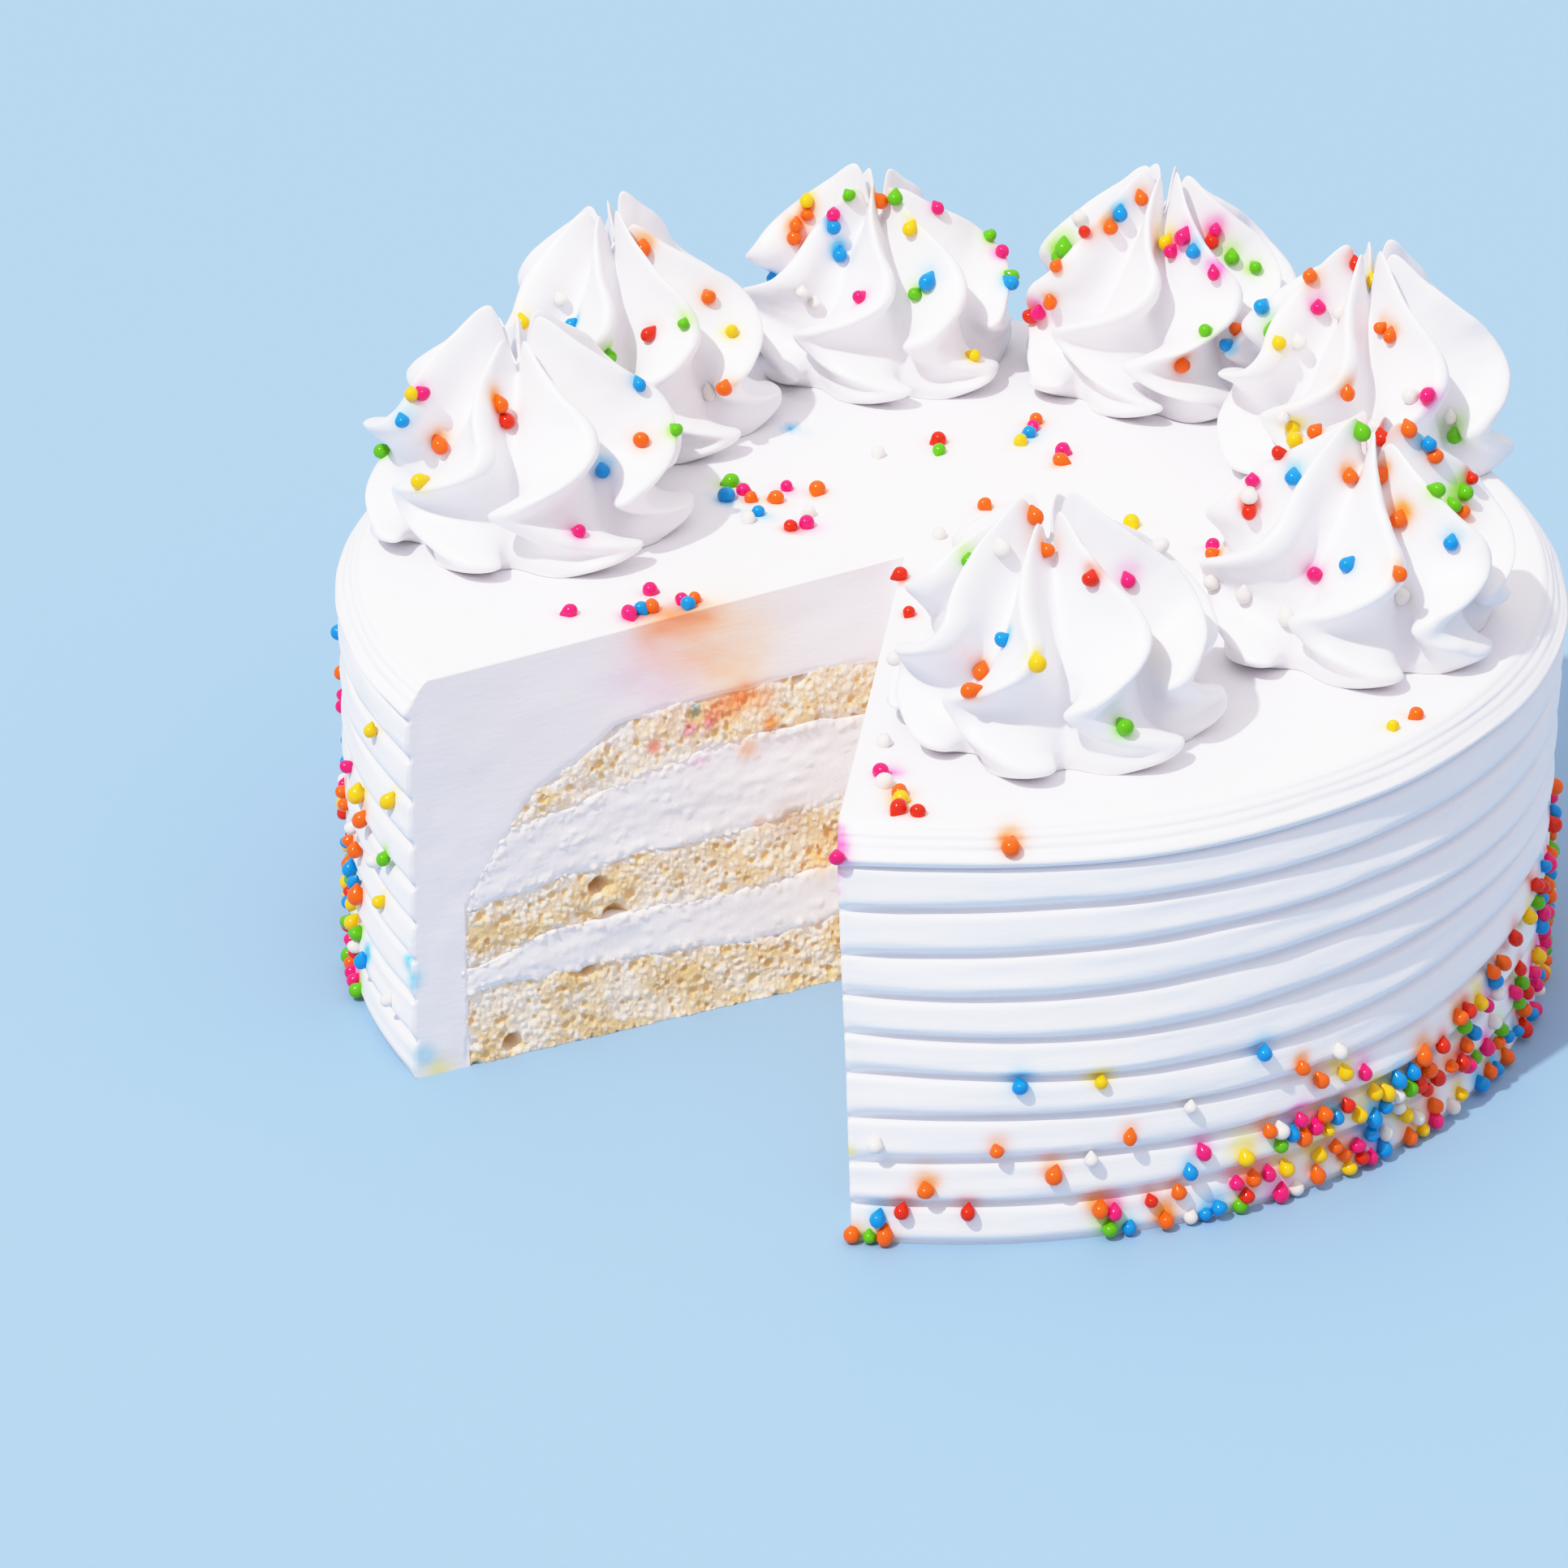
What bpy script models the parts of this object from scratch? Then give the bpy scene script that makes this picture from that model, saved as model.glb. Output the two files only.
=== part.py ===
"""Vanilla layer cake, about 160 mm across, with one slice cut out of its front.

Three sponge layers and two cream layers stand inside a thick cap of white icing.
A comb has drawn ridges round the side of the icing. Seven piped rosettes stand on
top, and sugar sprinkles lie on the icing and on the rosettes. Lengths are in metres.
The origin is at the centre of the base, +Z is up, and the missing slice faces -Y.
"""

import math
import random
from collections import namedtuple

import bmesh
import bpy
from mathutils import Vector

# Cake body
CAKE_HEIGHT = 0.0573
PLATEAU_RADIUS = 0.0768
LIP_RADIUS = 0.0804
LIP_HEIGHT = 0.0535
LIP_FULLNESS = 0.0008
GAP = 0.0003

# Comb ridges round the side. The shoulder and the crest are parts of the pitch below a groove.
RIDGE_COUNT = 9
RIDGE_PITCH = 0.00585
FIRST_GROOVE_HEIGHT = 0.0520
GROOVE_RADIUS = 0.0790
CREST_RADIUS = 0.0803
SHOULDER_RADIUS = 0.0800
SHOULDER_SHARE = 0.30
CREST_SHARE = 0.64
BASE_RADIUS = 0.0802
RIDGE_WAVER = 0.0006
WAVER_COUNT = 5
WAVER_TWIST = 9.0
SIDE_SEGMENTS = 56

# Layers, as (radius, height) points from the axis outwards along each join
LAYER_RADIUS = 0.0727
LAYER_SEGMENTS = 28
BOTTOM_SPONGE_TOP = ((0.0, 0.0092), (0.032, 0.0096), (0.056, 0.0107), (LAYER_RADIUS, 0.0109))
LOWER_CREAM_TOP = ((0.0, 0.0174), (0.032, 0.0155), (0.058, 0.0166), (LAYER_RADIUS, 0.0140))
MIDDLE_SPONGE_TOP = ((0.0, 0.0282), (0.032, 0.0250), (0.058, 0.0254), (LAYER_RADIUS, 0.0234))
UPPER_CREAM_TOP = ((0.0, 0.0360), (0.040, 0.0378), (0.058, 0.0340), (0.066, 0.0330))
TOP_SPONGE_TOP = ((0.0, 0.0432), (0.036, 0.0457), (0.050, 0.0442), (0.058, 0.0397), (0.066, 0.0344))

# Missing slice, as its two tips and the ends of its two cuts at the rim
SLICE_TIP_TOP = (-0.0060, -0.0030)
SLICE_TIP_BASE = (-0.0080, -0.0110)
LEFT_CUT_TOP = (-0.0680, -0.0428)
LEFT_CUT_BASE = (-0.0692, -0.0418)
RIGHT_CUT_TOP = (-0.0133, -0.0801)
RIGHT_CUT_BASE = (-0.0112, -0.0805)
CUT_REACH = 1.35
CUT_MARGIN = 0.004
CUT_SPLITS = 3

# Rosettes
Rosette = namedtuple("Rosette", "x y radius height fins turn lean seed")
ROSETTES = (
    Rosette(-0.0558, 0.0065, 0.0216, 0.0290, 7, 0.67, -0.0010, 11),
    Rosette(-0.0438, 0.0412, 0.0203, 0.0302, 7, 0.72, -0.0030, 23),
    Rosette(-0.0102, 0.0618, 0.0196, 0.0270, 7, 0.05, -0.0007, 37),
    Rosette(0.0284, 0.0572, 0.0196, 0.0296, 8, 0.40, 0.0007, 41),
    Rosette(0.0560, 0.0302, 0.0200, 0.0290, 7, 0.60, -0.0007, 59),
    Rosette(0.0510, -0.0225, 0.0206, 0.0278, 7, 0.15, 0.0016, 61),
    Rosette(0.0131, -0.0486, 0.0214, 0.0290, 8, 0.50, -0.0016, 79),
)
NEIGHBOUR_REACH = 0.045
RIM_LIMIT = 0.0812
CLAMP_SOFTNESS = 0.0030
COLUMNS_PER_FIN = 4

# Sections of a rosette from the hollow in its crown down to its foot. Radii are parts
# of the rosette's radius and heights parts of its height, at a fin's crest and in the
# crease beside it. The swing is how far the crest runs sideways there.
Section = namedtuple("Section", "crest_radius crest_height crease_radius crease_height swing")
SECTIONS = (
    Section(0.06, 0.84, 0.05, 0.80, 0.00),
    Section(0.15, 1.00, 0.12, 0.80, 0.00),
    Section(0.37, 0.90, 0.23, 0.73, 0.10),
    Section(0.60, 0.78, 0.34, 0.63, 0.35),
    Section(0.78, 0.67, 0.43, 0.54, 0.60),
    Section(0.90, 0.565, 0.50, 0.46, 0.45),
    Section(0.97, 0.47, 0.56, 0.39, -0.10),
    Section(0.98, 0.385, 0.60, 0.33, -0.70),
    Section(0.94, 0.31, 0.63, 0.27, -1.00),
    Section(0.93, 0.235, 0.66, 0.205, -0.62),
    Section(0.99, 0.16, 0.69, 0.135, 0.10),
    Section(1.01, 0.08, 0.71, 0.065, 0.85),
    Section(0.86, 0.00, 0.70, 0.00, 0.80),
)
LAST_SECTION = len(SECTIONS) - 1.0
CROWN_HOLLOW = 0.79
BLADE_THINNESS = 3.0
LOBE_THINNESS = 0.5
FOOT_FULLNESS = 0.6
LEAN_SHARE = 0.90
SETTLED_ROWS = 1.5
LOBE_ROW = 3.0
FIN_JITTER = 0.10
TIP_JITTER = 0.07
SWING_RANGE = (0.28, 0.62)
SIZE_RANGE = (0.95, 1.03)
LATE_RANGE = (-0.6, 0.6)

# Sprinkles
SPRINKLE_RADIUS = 0.00125
SPRINKLE_SINK = 0.35
SPRINKLE_SPACING = 0.0042
SPRINKLE_SIZES = (0.88, 1.06)
ROSETTE_SPRINKLES = 4
ROSETTE_ROWS = (2.2, 5.4)
FLANKS = (0.25, 0.75)
FLANK_JITTER = 0.08
NEIGHBOUR_ROOM = 2.4
PROBE_ROW = 0.1
PROBE_ACROSS = 0.02
BAND_SPRINKLES = 27
BAND_START = math.radians(-68.0)
BAND_END = math.radians(200.0)
BAND_LOW = 0.0019
BAND_HEIGHT = 0.014
LEFT_SPRINKLES = 5
LEFT_START = math.radians(178.0)
LEFT_END = math.radians(209.0)
LEFT_HEIGHT = 0.047
TOP_SPRINKLES = (
    (-0.0018, 0.0335),
    (0.0115, 0.0405),
    (0.0150, 0.0300),
    (-0.0295, 0.0190),
    (-0.0220, 0.0175),
    (-0.0255, 0.0095),
    (-0.0205, 0.0060),
    (-0.0395, -0.0205),
    (-0.0335, -0.0188),
    (0.0620, 0.0045),
    (-0.0060, -0.0715),
)
BAND_SEED = 7
FUSING_SEED = 3
ROSETTE_SEED_STEP = 500

# Colours, as linear red, green and blue, and finishes
ICING_COLOUR = (0.89, 0.89, 0.93, 1.0)
CREAM_COLOUR = (0.87, 0.85, 0.86, 1.0)
SPONGE_COLOUR = (0.80, 0.66, 0.42, 1.0)
ICING_ROUGHNESS = 0.45
LAYER_ROUGHNESS = 0.80
SHARP_ANGLE = math.radians(38.0)


def make_material(name, colour, roughness):
    """One Principled material of a plain colour."""
    material = bpy.data.materials.new(name)
    material.use_nodes = True
    shader = material.node_tree.nodes["Principled BSDF"]
    shader.inputs["Base Color"].default_value = colour
    shader.inputs["Roughness"].default_value = roughness
    shader.inputs["Metallic"].default_value = 0.0
    return material


def add_object(name, mesh, collection):
    """Link a mesh to the scene as a named object."""
    item = bpy.data.objects.new(name, mesh)
    collection.objects.link(item)
    return item


def apply_modifiers(item):
    """Turn the object's evaluated shape into its plain mesh."""
    bpy.context.view_layer.update()
    graph = bpy.context.evaluated_depsgraph_get()
    shape = bpy.data.meshes.new_from_object(item.evaluated_get(graph))
    item.modifiers.clear()
    item.data = shape


def turned(name, profile, segments, collection):
    """A solid of revolution from a profile that runs from the axis round to the axis."""
    mesh = bpy.data.meshes.new(name)
    points = [(radius, 0.0, height) for radius, height in profile]
    links = [(index, index + 1) for index in range(len(points) - 1)]
    mesh.from_pydata(points, links, [])
    item = add_object(name, mesh, collection)
    screw = item.modifiers.new("Turn", "SCREW")
    screw.steps = segments
    screw.render_steps = segments
    screw.use_merge_vertices = True
    screw.merge_threshold = 0.00001
    screw.use_normal_calculate = False
    apply_modifiers(item)
    return item


def boolean(item, other, operation):
    """Cut or join one object with another."""
    step = item.modifiers.new(operation.title(), "BOOLEAN")
    step.object = other
    step.operation = operation
    step.solver = "EXACT"


def mark_cutter(item):
    """Show an object as a guide only."""
    item.hide_render = True
    item.display_type = "WIRE"


def comb_waver(angle, height):
    """How far the comb drifted up or down at this place on the side."""
    fade = math.sin(math.pi * min(1.0, height / LIP_HEIGHT))
    drift = math.sin(WAVER_COUNT * angle + WAVER_TWIST * height / LIP_HEIGHT)
    return RIDGE_WAVER * fade * drift


def icing_profile():
    """Outer outline of the icing, from the middle of the top down the combed side."""
    middle = (
        (PLATEAU_RADIUS + LIP_RADIUS) / 2 + LIP_FULLNESS,
        (CAKE_HEIGHT + LIP_HEIGHT) / 2 + LIP_FULLNESS,
    )
    points = [(0.0, CAKE_HEIGHT), (PLATEAU_RADIUS, CAKE_HEIGHT), middle, (LIP_RADIUS, LIP_HEIGHT)]
    for ridge in range(RIDGE_COUNT):
        groove = FIRST_GROOVE_HEIGHT - ridge * RIDGE_PITCH
        points.append((GROOVE_RADIUS, groove))
        points.append((SHOULDER_RADIUS, groove - SHOULDER_SHARE * RIDGE_PITCH))
        if ridge < RIDGE_COUNT - 1:
            points.append((CREST_RADIUS, groove - CREST_SHARE * RIDGE_PITCH))
    points.append((BASE_RADIUS, 0.0))
    points.append((0.0, 0.0))
    return points


def make_icing_body(collection, cutters):
    """The icing as a cap with combed sides and a hollow for the layers."""
    icing = turned("icing", icing_profile(), SIDE_SEGMENTS, collection)
    for vertex in icing.data.vertices:
        spot = vertex.co
        if math.hypot(spot.x, spot.y) > PLATEAU_RADIUS:
            spot.z += comb_waver(math.atan2(spot.y, spot.x), spot.z)
    hollow = [(radius + GAP, height + GAP) for radius, height in TOP_SPONGE_TOP]
    hollow[0] = (0.0, TOP_SPONGE_TOP[0][1] + GAP)
    hollow.append((UPPER_CREAM_TOP[-1][0] + GAP, UPPER_CREAM_TOP[-1][1]))
    hollow.append((LAYER_RADIUS + GAP, MIDDLE_SPONGE_TOP[-1][1] + GAP))
    hollow.append((LAYER_RADIUS + GAP, -CUT_MARGIN))
    hollow.append((0.0, -CUT_MARGIN))
    cutter = turned("hollow_cutter", hollow, LAYER_SEGMENTS, cutters)
    mark_cutter(cutter)
    boolean(icing, cutter, "DIFFERENCE")
    return icing


def make_layer(name, lower, upper, collection):
    """One layer between two joins, with the gap left under the join above it."""
    outline = [(radius, height - GAP) for radius, height in upper]
    outline += [(radius, height) for radius, height in reversed(lower)]
    return turned(name, outline, LAYER_SEGMENTS, collection)


def cut_corner(tip_top, tip_base, end_top, end_base, reach, height):
    """A point on a cut: reach 0 is at the tip, and the cut is straight at each height."""
    share = height / CAKE_HEIGHT
    tip = Vector(tip_base).lerp(Vector(tip_top), share)
    end = Vector(end_base).lerp(Vector(end_top), share)
    spot = tip.lerp(end, reach)
    return Vector((spot.x, spot.y, height))


def make_slice_cutter(cutters):
    """The missing slice as a three-sided prism whose sides follow the two cuts."""
    grid = bmesh.new()
    bmesh.ops.create_cone(grid, cap_ends=True, segments=3, radius1=1.0, radius2=1.0, depth=2.0)
    rows = {-1: -CUT_MARGIN, 1: CAKE_HEIGHT + CUT_MARGIN}
    for side, height in rows.items():
        corners = [vertex for vertex in grid.verts if vertex.co.z * side > 0]
        corners.sort(key=lambda vertex: math.atan2(vertex.co.y, vertex.co.x) % math.tau)
        places = (
            cut_corner(SLICE_TIP_TOP, SLICE_TIP_BASE, RIGHT_CUT_TOP, RIGHT_CUT_BASE, 0.0, height),
            cut_corner(SLICE_TIP_TOP, SLICE_TIP_BASE, LEFT_CUT_TOP, LEFT_CUT_BASE, CUT_REACH, height),
            cut_corner(SLICE_TIP_TOP, SLICE_TIP_BASE, RIGHT_CUT_TOP, RIGHT_CUT_BASE, CUT_REACH, height),
        )
        for vertex, place in zip(corners, places):
            vertex.co = place
    bmesh.ops.subdivide_edges(grid, edges=grid.edges[:], cuts=CUT_SPLITS, use_grid_fill=True)
    bmesh.ops.triangulate(grid, faces=grid.faces[:])
    bmesh.ops.recalc_face_normals(grid, faces=grid.faces[:])
    mesh = bpy.data.meshes.new("slice_cutter")
    grid.to_mesh(mesh)
    grid.free()
    cutter = add_object("slice_cutter", mesh, cutters)
    mark_cutter(cutter)
    return cutter


def fin_traits(rosette):
    """The seeded unevenness of each fin: place, tip height, swing, size and lateness."""
    draw = random.Random(rosette.seed)
    traits = []
    for _ in range(rosette.fins):
        place = draw.uniform(-FIN_JITTER, FIN_JITTER)
        tip = draw.uniform(-TIP_JITTER, TIP_JITTER)
        swing = draw.uniform(*SWING_RANGE)
        size = draw.uniform(*SIZE_RANGE)
        late = draw.uniform(*LATE_RANGE)
        traits.append((place, tip, swing, size, late))
    return traits


def keep_clear(rosette, spot):
    """Flatten a rosette softly where it meets a neighbour or would pass the rim."""
    centre = Vector((rosette.x, rosette.y))
    limits = [(centre.normalized(), RIM_LIMIT - centre.length)]
    for other in ROSETTES:
        apart = Vector((other.x, other.y)) - centre
        if 0.0 < apart.length < NEIGHBOUR_REACH:
            share = rosette.radius / (rosette.radius + other.radius)
            limits.append((apart.normalized(), apart.length * share - GAP / 2))
    for direction, limit in limits:
        along = spot.x * direction.x + spot.y * direction.y
        start = limit - CLAMP_SOFTNESS
        if along > start:
            kept = start + CLAMP_SOFTNESS * (1.0 - math.exp(-(along - start) / CLAMP_SOFTNESS))
            spot.x -= (along - kept) * direction.x
            spot.y -= (along - kept) * direction.y
    return spot


def blend_sections(row):
    """The section at a fractional row."""
    row = max(0.0, min(LAST_SECTION, row))
    index = min(int(row), len(SECTIONS) - 2)
    share = row - index
    pairs = zip(SECTIONS[index], SECTIONS[index + 1])
    return Section(*(first + (second - first) * share for first, second in pairs))


def smooth(share):
    """Ease from 0 to 1."""
    share = max(0.0, min(1.0, share))
    return share * share * (3.0 - 2.0 * share)


def rib_share(row, across):
    """How far the surface stands out: 1 on a fin's crest and 0 in the crease beside it."""
    low = smooth((row - LOBE_ROW) / LOBE_ROW)
    thinness = BLADE_THINNESS + (LOBE_THINNESS - BLADE_THINNESS) * low
    full = 2.0 + FOOT_FULLNESS * smooth((row - 2.0 * LOBE_ROW) / LOBE_ROW)
    side = 2.0 * min(across, 1.0 - across)
    return (1.0 - side ** full) ** 2 / (1.0 + thinness * side * side)


def rosette_point(rosette, traits, row, fin, across):
    """A point of a rosette's surface, with across from 0 at a crest to 1 at the next."""
    section = blend_sections(row)
    first, second = traits[fin], traits[(fin + 1) % rosette.fins]
    place, tip, swing, size, late = (a + (b - a) * across for a, b in zip(first, second))
    crest = rib_share(row, across)
    sideways = blend_sections(row + late).swing * swing * smooth(crest / LEAN_SHARE)
    sideways *= min(1.0, (LAST_SECTION - row) / SETTLED_ROWS)
    angle = math.tau / rosette.fins * (fin + across) + place + rosette.turn + sideways
    radius = section.crease_radius + (section.crest_radius - section.crease_radius) * crest
    level = section.crease_height + (section.crest_height - section.crease_height) * crest
    level *= 1.0 + tip * level
    radius *= rosette.radius * size
    spot = Vector((radius * math.cos(angle), radius * math.sin(angle), level * rosette.height))
    spot = keep_clear(rosette, spot)
    spot.x += rosette.lean * level ** 1.5 + rosette.x
    spot.y += rosette.y
    spot.z += CAKE_HEIGHT + GAP
    return spot


def make_rosette(number, rosette, collection):
    """A rosette: a sphere whose rings become the sections from the crown to the foot."""
    columns = rosette.fins * COLUMNS_PER_FIN
    rings = len(SECTIONS)
    grid = bmesh.new()
    bmesh.ops.create_uvsphere(grid, u_segments=columns, v_segments=rings + 1, radius=1.0)
    traits = fin_traits(rosette)
    for vertex in grid.verts:
        ring = round(math.acos(max(-1.0, min(1.0, vertex.co.z))) / math.pi * (rings + 1))
        if ring in (0, rings + 1):
            height = CROWN_HOLLOW * rosette.height if ring == 0 else 0.0
            shift = rosette.lean if ring == 0 else 0.0
            vertex.co = (rosette.x + shift, rosette.y, CAKE_HEIGHT + GAP + height)
            continue
        column = round(math.atan2(vertex.co.y, vertex.co.x) / math.tau * columns) % columns
        fin, step = divmod(column, COLUMNS_PER_FIN)
        vertex.co = rosette_point(rosette, traits, ring - 1, fin, step / COLUMNS_PER_FIN)
    bmesh.ops.recalc_face_normals(grid, faces=grid.faces[:])
    name = f"rosette_{number}"
    mesh = bpy.data.meshes.new(name)
    grid.to_mesh(mesh)
    grid.free()
    return add_object(name, mesh, collection)


def clear_of(spot, taken, spacing):
    """Whether a place is far enough from the ones already taken."""
    return all((spot - other).length > spacing for other in taken)


def rosette_sprinkles(rosette):
    """Seeded places on a rosette's upper fins, clear of the rosettes beside it."""
    draw = random.Random(rosette.seed + ROSETTE_SEED_STEP)
    traits = fin_traits(rosette)
    centre = Vector((rosette.x, rosette.y))
    places = []
    while len(places) < ROSETTE_SPRINKLES:
        row = draw.uniform(*ROSETTE_ROWS)
        fin = draw.randrange(rosette.fins)
        across = draw.choice(FLANKS) + draw.uniform(-FLANK_JITTER, FLANK_JITTER)
        spot = rosette_point(rosette, traits, row, fin, across)
        above = rosette_point(rosette, traits, row - PROBE_ROW, fin, across)
        beside = rosette_point(rosette, traits, row, fin, across + PROBE_ACROSS)
        normal = (above - spot).cross(beside - spot).normalized()
        if normal.dot(spot - Vector((centre.x, centre.y, CAKE_HEIGHT))) < 0.0:
            normal.negate()
        others = [Vector((other.x, other.y)) for other in ROSETTES if other is not rosette]
        flat = Vector((spot.x, spot.y))
        nearest = min((flat - other).length for other in others)
        if nearest > (flat - centre).length + NEIGHBOUR_ROOM * SPRINKLE_RADIUS:
            if clear_of(spot, places, SPRINKLE_SPACING):
                places.append(spot + normal * SPRINKLE_RADIUS * SPRINKLE_SINK)
    return places


def side_radius(angle, height):
    """Radius of the combed side at this place."""
    level = height - comb_waver(angle, height)
    outline = icing_profile()
    for upper, lower in zip(outline, outline[1:]):
        if lower[1] <= level < upper[1]:
            share = (upper[1] - level) / (upper[1] - lower[1])
            return upper[0] + (lower[0] - upper[0]) * share
    return BASE_RADIUS


def side_spot(angle, height):
    """A place for a sprinkle against the combed side."""
    radius = side_radius(angle, height) + SPRINKLE_RADIUS * SPRINKLE_SINK
    return Vector((radius * math.cos(angle), radius * math.sin(angle), height))


def icing_sprinkles():
    """Places along the foot of the side, up the left side and on the top."""
    draw = random.Random(BAND_SEED)
    places = []
    height = CAKE_HEIGHT + SPRINKLE_RADIUS * SPRINKLE_SINK
    for x, y in TOP_SPRINKLES:
        places.append(Vector((x, y, height)))
    while len(places) < len(TOP_SPRINKLES) + BAND_SPRINKLES:
        angle = draw.uniform(BAND_START, BAND_END)
        spot = side_spot(angle, BAND_LOW + BAND_HEIGHT * draw.random() ** 2)
        if clear_of(spot, places, SPRINKLE_SPACING):
            places.append(spot)
    while len(places) < len(TOP_SPRINKLES) + BAND_SPRINKLES + LEFT_SPRINKLES:
        angle = draw.uniform(LEFT_START, LEFT_END)
        spot = side_spot(angle, BAND_LOW + LEFT_HEIGHT * draw.random())
        if clear_of(spot, places, SPRINKLE_SPACING):
            places.append(spot)
    return places


def fuse_sprinkles(item, places, seed):
    """Join a sprinkle at each place to the object, with one union."""
    draw = random.Random(seed)
    loose = bpy.data.collections.new(f"{item.name}_sprinkles")
    bpy.context.scene.collection.children.link(loose)
    for spot in places:
        grid = bmesh.new()
        radius = SPRINKLE_RADIUS * draw.uniform(*SPRINKLE_SIZES)
        bmesh.ops.create_icosphere(grid, subdivisions=1, radius=radius)
        turn = Vector((draw.uniform(-1, 1), draw.uniform(-1, 1), 1.0)).to_track_quat("Z", "Y")
        bmesh.ops.rotate(grid, verts=grid.verts[:], matrix=turn.to_matrix())
        bmesh.ops.translate(grid, verts=grid.verts[:], vec=spot)
        mesh = bpy.data.meshes.new("sprinkle")
        grid.to_mesh(mesh)
        grid.free()
        add_object("sprinkle", mesh, loose)
    step = item.modifiers.new("Sprinkles", "BOOLEAN")
    step.operation = "UNION"
    step.operand_type = "COLLECTION"
    step.collection = loose
    step.solver = "EXACT"
    apply_modifiers(item)
    for sprinkle in list(loose.objects):
        bpy.data.objects.remove(sprinkle)
    bpy.data.collections.remove(loose)


def dress(item, material):
    """Give an object its only material and smooth shading with sharp cut edges."""
    item.data.materials.clear()
    item.data.materials.append(material)
    item.data.shade_smooth()
    item.data.set_sharp_from_angle(angle=SHARP_ANGLE)


def main():
    """Clear the scene and build the cake."""
    for item in list(bpy.data.objects):
        bpy.data.objects.remove(item)
    cake = bpy.data.collections.new("vanilla_cake")
    cutters = bpy.data.collections.new("cutters")
    bpy.context.scene.collection.children.link(cake)
    bpy.context.scene.collection.children.link(cutters)

    slice_cutter = make_slice_cutter(cutters)
    icing = make_icing_body(cake, cutters)
    boolean(icing, slice_cutter, "DIFFERENCE")
    apply_modifiers(icing)
    fuse_sprinkles(icing, icing_sprinkles(), FUSING_SEED)
    dress(icing, make_material("icing", ICING_COLOUR, ICING_ROUGHNESS))

    flat_base = ((0.0, 0.0), (LAYER_RADIUS, 0.0))
    joins = (
        ("sponge_bottom", flat_base, BOTTOM_SPONGE_TOP),
        ("cream_lower", BOTTOM_SPONGE_TOP, LOWER_CREAM_TOP),
        ("sponge_middle", LOWER_CREAM_TOP, MIDDLE_SPONGE_TOP),
        ("cream_upper", MIDDLE_SPONGE_TOP, UPPER_CREAM_TOP),
        ("sponge_top", UPPER_CREAM_TOP, TOP_SPONGE_TOP),
    )
    for name, lower, upper in joins:
        layer = make_layer(name, lower, upper, cake)
        boolean(layer, slice_cutter, "DIFFERENCE")
        apply_modifiers(layer)
        colour = SPONGE_COLOUR if name.startswith("sponge") else CREAM_COLOUR
        dress(layer, make_material(name, colour, LAYER_ROUGHNESS))

    for number, rosette in enumerate(ROSETTES, start=1):
        swirl = make_rosette(number, rosette, cake)
        fuse_sprinkles(swirl, rosette_sprinkles(rosette), rosette.seed)
        dress(swirl, make_material(swirl.name, ICING_COLOUR, ICING_ROUGHNESS))


main()
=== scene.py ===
"""Looks of the vanilla layer cake: combed icing, piped rosettes, open crumb and sprinkles."""

import math
import random
from collections import namedtuple

import bmesh
import bpy
import numpy as np
from mathutils import Matrix, Vector


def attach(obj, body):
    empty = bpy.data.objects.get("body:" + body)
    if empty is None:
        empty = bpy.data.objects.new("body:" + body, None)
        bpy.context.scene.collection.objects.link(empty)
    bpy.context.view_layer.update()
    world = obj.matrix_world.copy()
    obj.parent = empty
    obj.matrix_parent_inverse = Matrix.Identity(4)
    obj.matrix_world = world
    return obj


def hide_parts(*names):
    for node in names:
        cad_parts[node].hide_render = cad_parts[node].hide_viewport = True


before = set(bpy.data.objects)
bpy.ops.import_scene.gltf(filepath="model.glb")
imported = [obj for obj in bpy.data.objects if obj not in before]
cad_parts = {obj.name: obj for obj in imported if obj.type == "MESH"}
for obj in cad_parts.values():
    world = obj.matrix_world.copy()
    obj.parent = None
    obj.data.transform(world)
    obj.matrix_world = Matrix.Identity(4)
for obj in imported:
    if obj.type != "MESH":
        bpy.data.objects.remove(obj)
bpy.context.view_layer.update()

# Cake body, in metres, in the CAD model's frame
CAKE_HEIGHT = 0.0573
LIP_RADIUS = 0.0804
LIP_HEIGHT = 0.0535
ICING_INSET = 0.0001
FIT = 0.00005

# Comb ridges round the side. The shoulder and the crest are where the solids have them, as
# parts of the pitch below a groove.
RIDGE_COUNT = 9
RIDGE_PITCH = 0.00585
FIRST_GROOVE_HEIGHT = 0.0520
GROOVE_RADIUS = 0.0790
CREST_RADIUS = 0.0803
SHOULDER_RADIUS = 0.0800
SHOULDER_SHARE = 0.30
CREST_SHARE = 0.64
BASE_RADIUS = 0.0802
FOOT_RADIUS = 0.0798
FOOT_HEIGHT = 0.0002
RIDGE_WAVER = 0.0006
WAVER_COUNT = 5
WAVER_TWIST = 9.0

# Rows and columns of points on the icing, closest together where the shape turns fastest, and
# how near points are welded
LIP_WALL_ROWS = 4
LIP_SAMPLES = 22
LIP_CROWDING = 1.4
TOP_SAMPLES = 30
CUT_COLUMNS = 33
CUT_CROWDING = 1.6
EDGE_COLUMNS = 3
BEHIND_GROOVES = 0.0777
BEHIND_SHARE = 0.02
TIP_ROOM = 0.0012
HIDDEN_COLUMNS = 20
WELD_DISTANCE = 0.000001
SHORTEST_EDGE = 0.0000005

# How much the knife filled the grooves at the two cuts, up to the lip, and how far along the
# side's length that reaches
EDGE_FILL = 0.65
EDGE_FILL_FADE = 0.0015
EDGE_REACH = 0.0025
SIDE_LENGTH = 0.42

# Columns round the side: share of the way from the right cut to the left cut, and how many
SHOWN_COLUMNS = (0.345, 228)
FAR_COLUMNS = (0.890, 125)
LEFT_COLUMNS = (1.0, 50)

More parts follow.
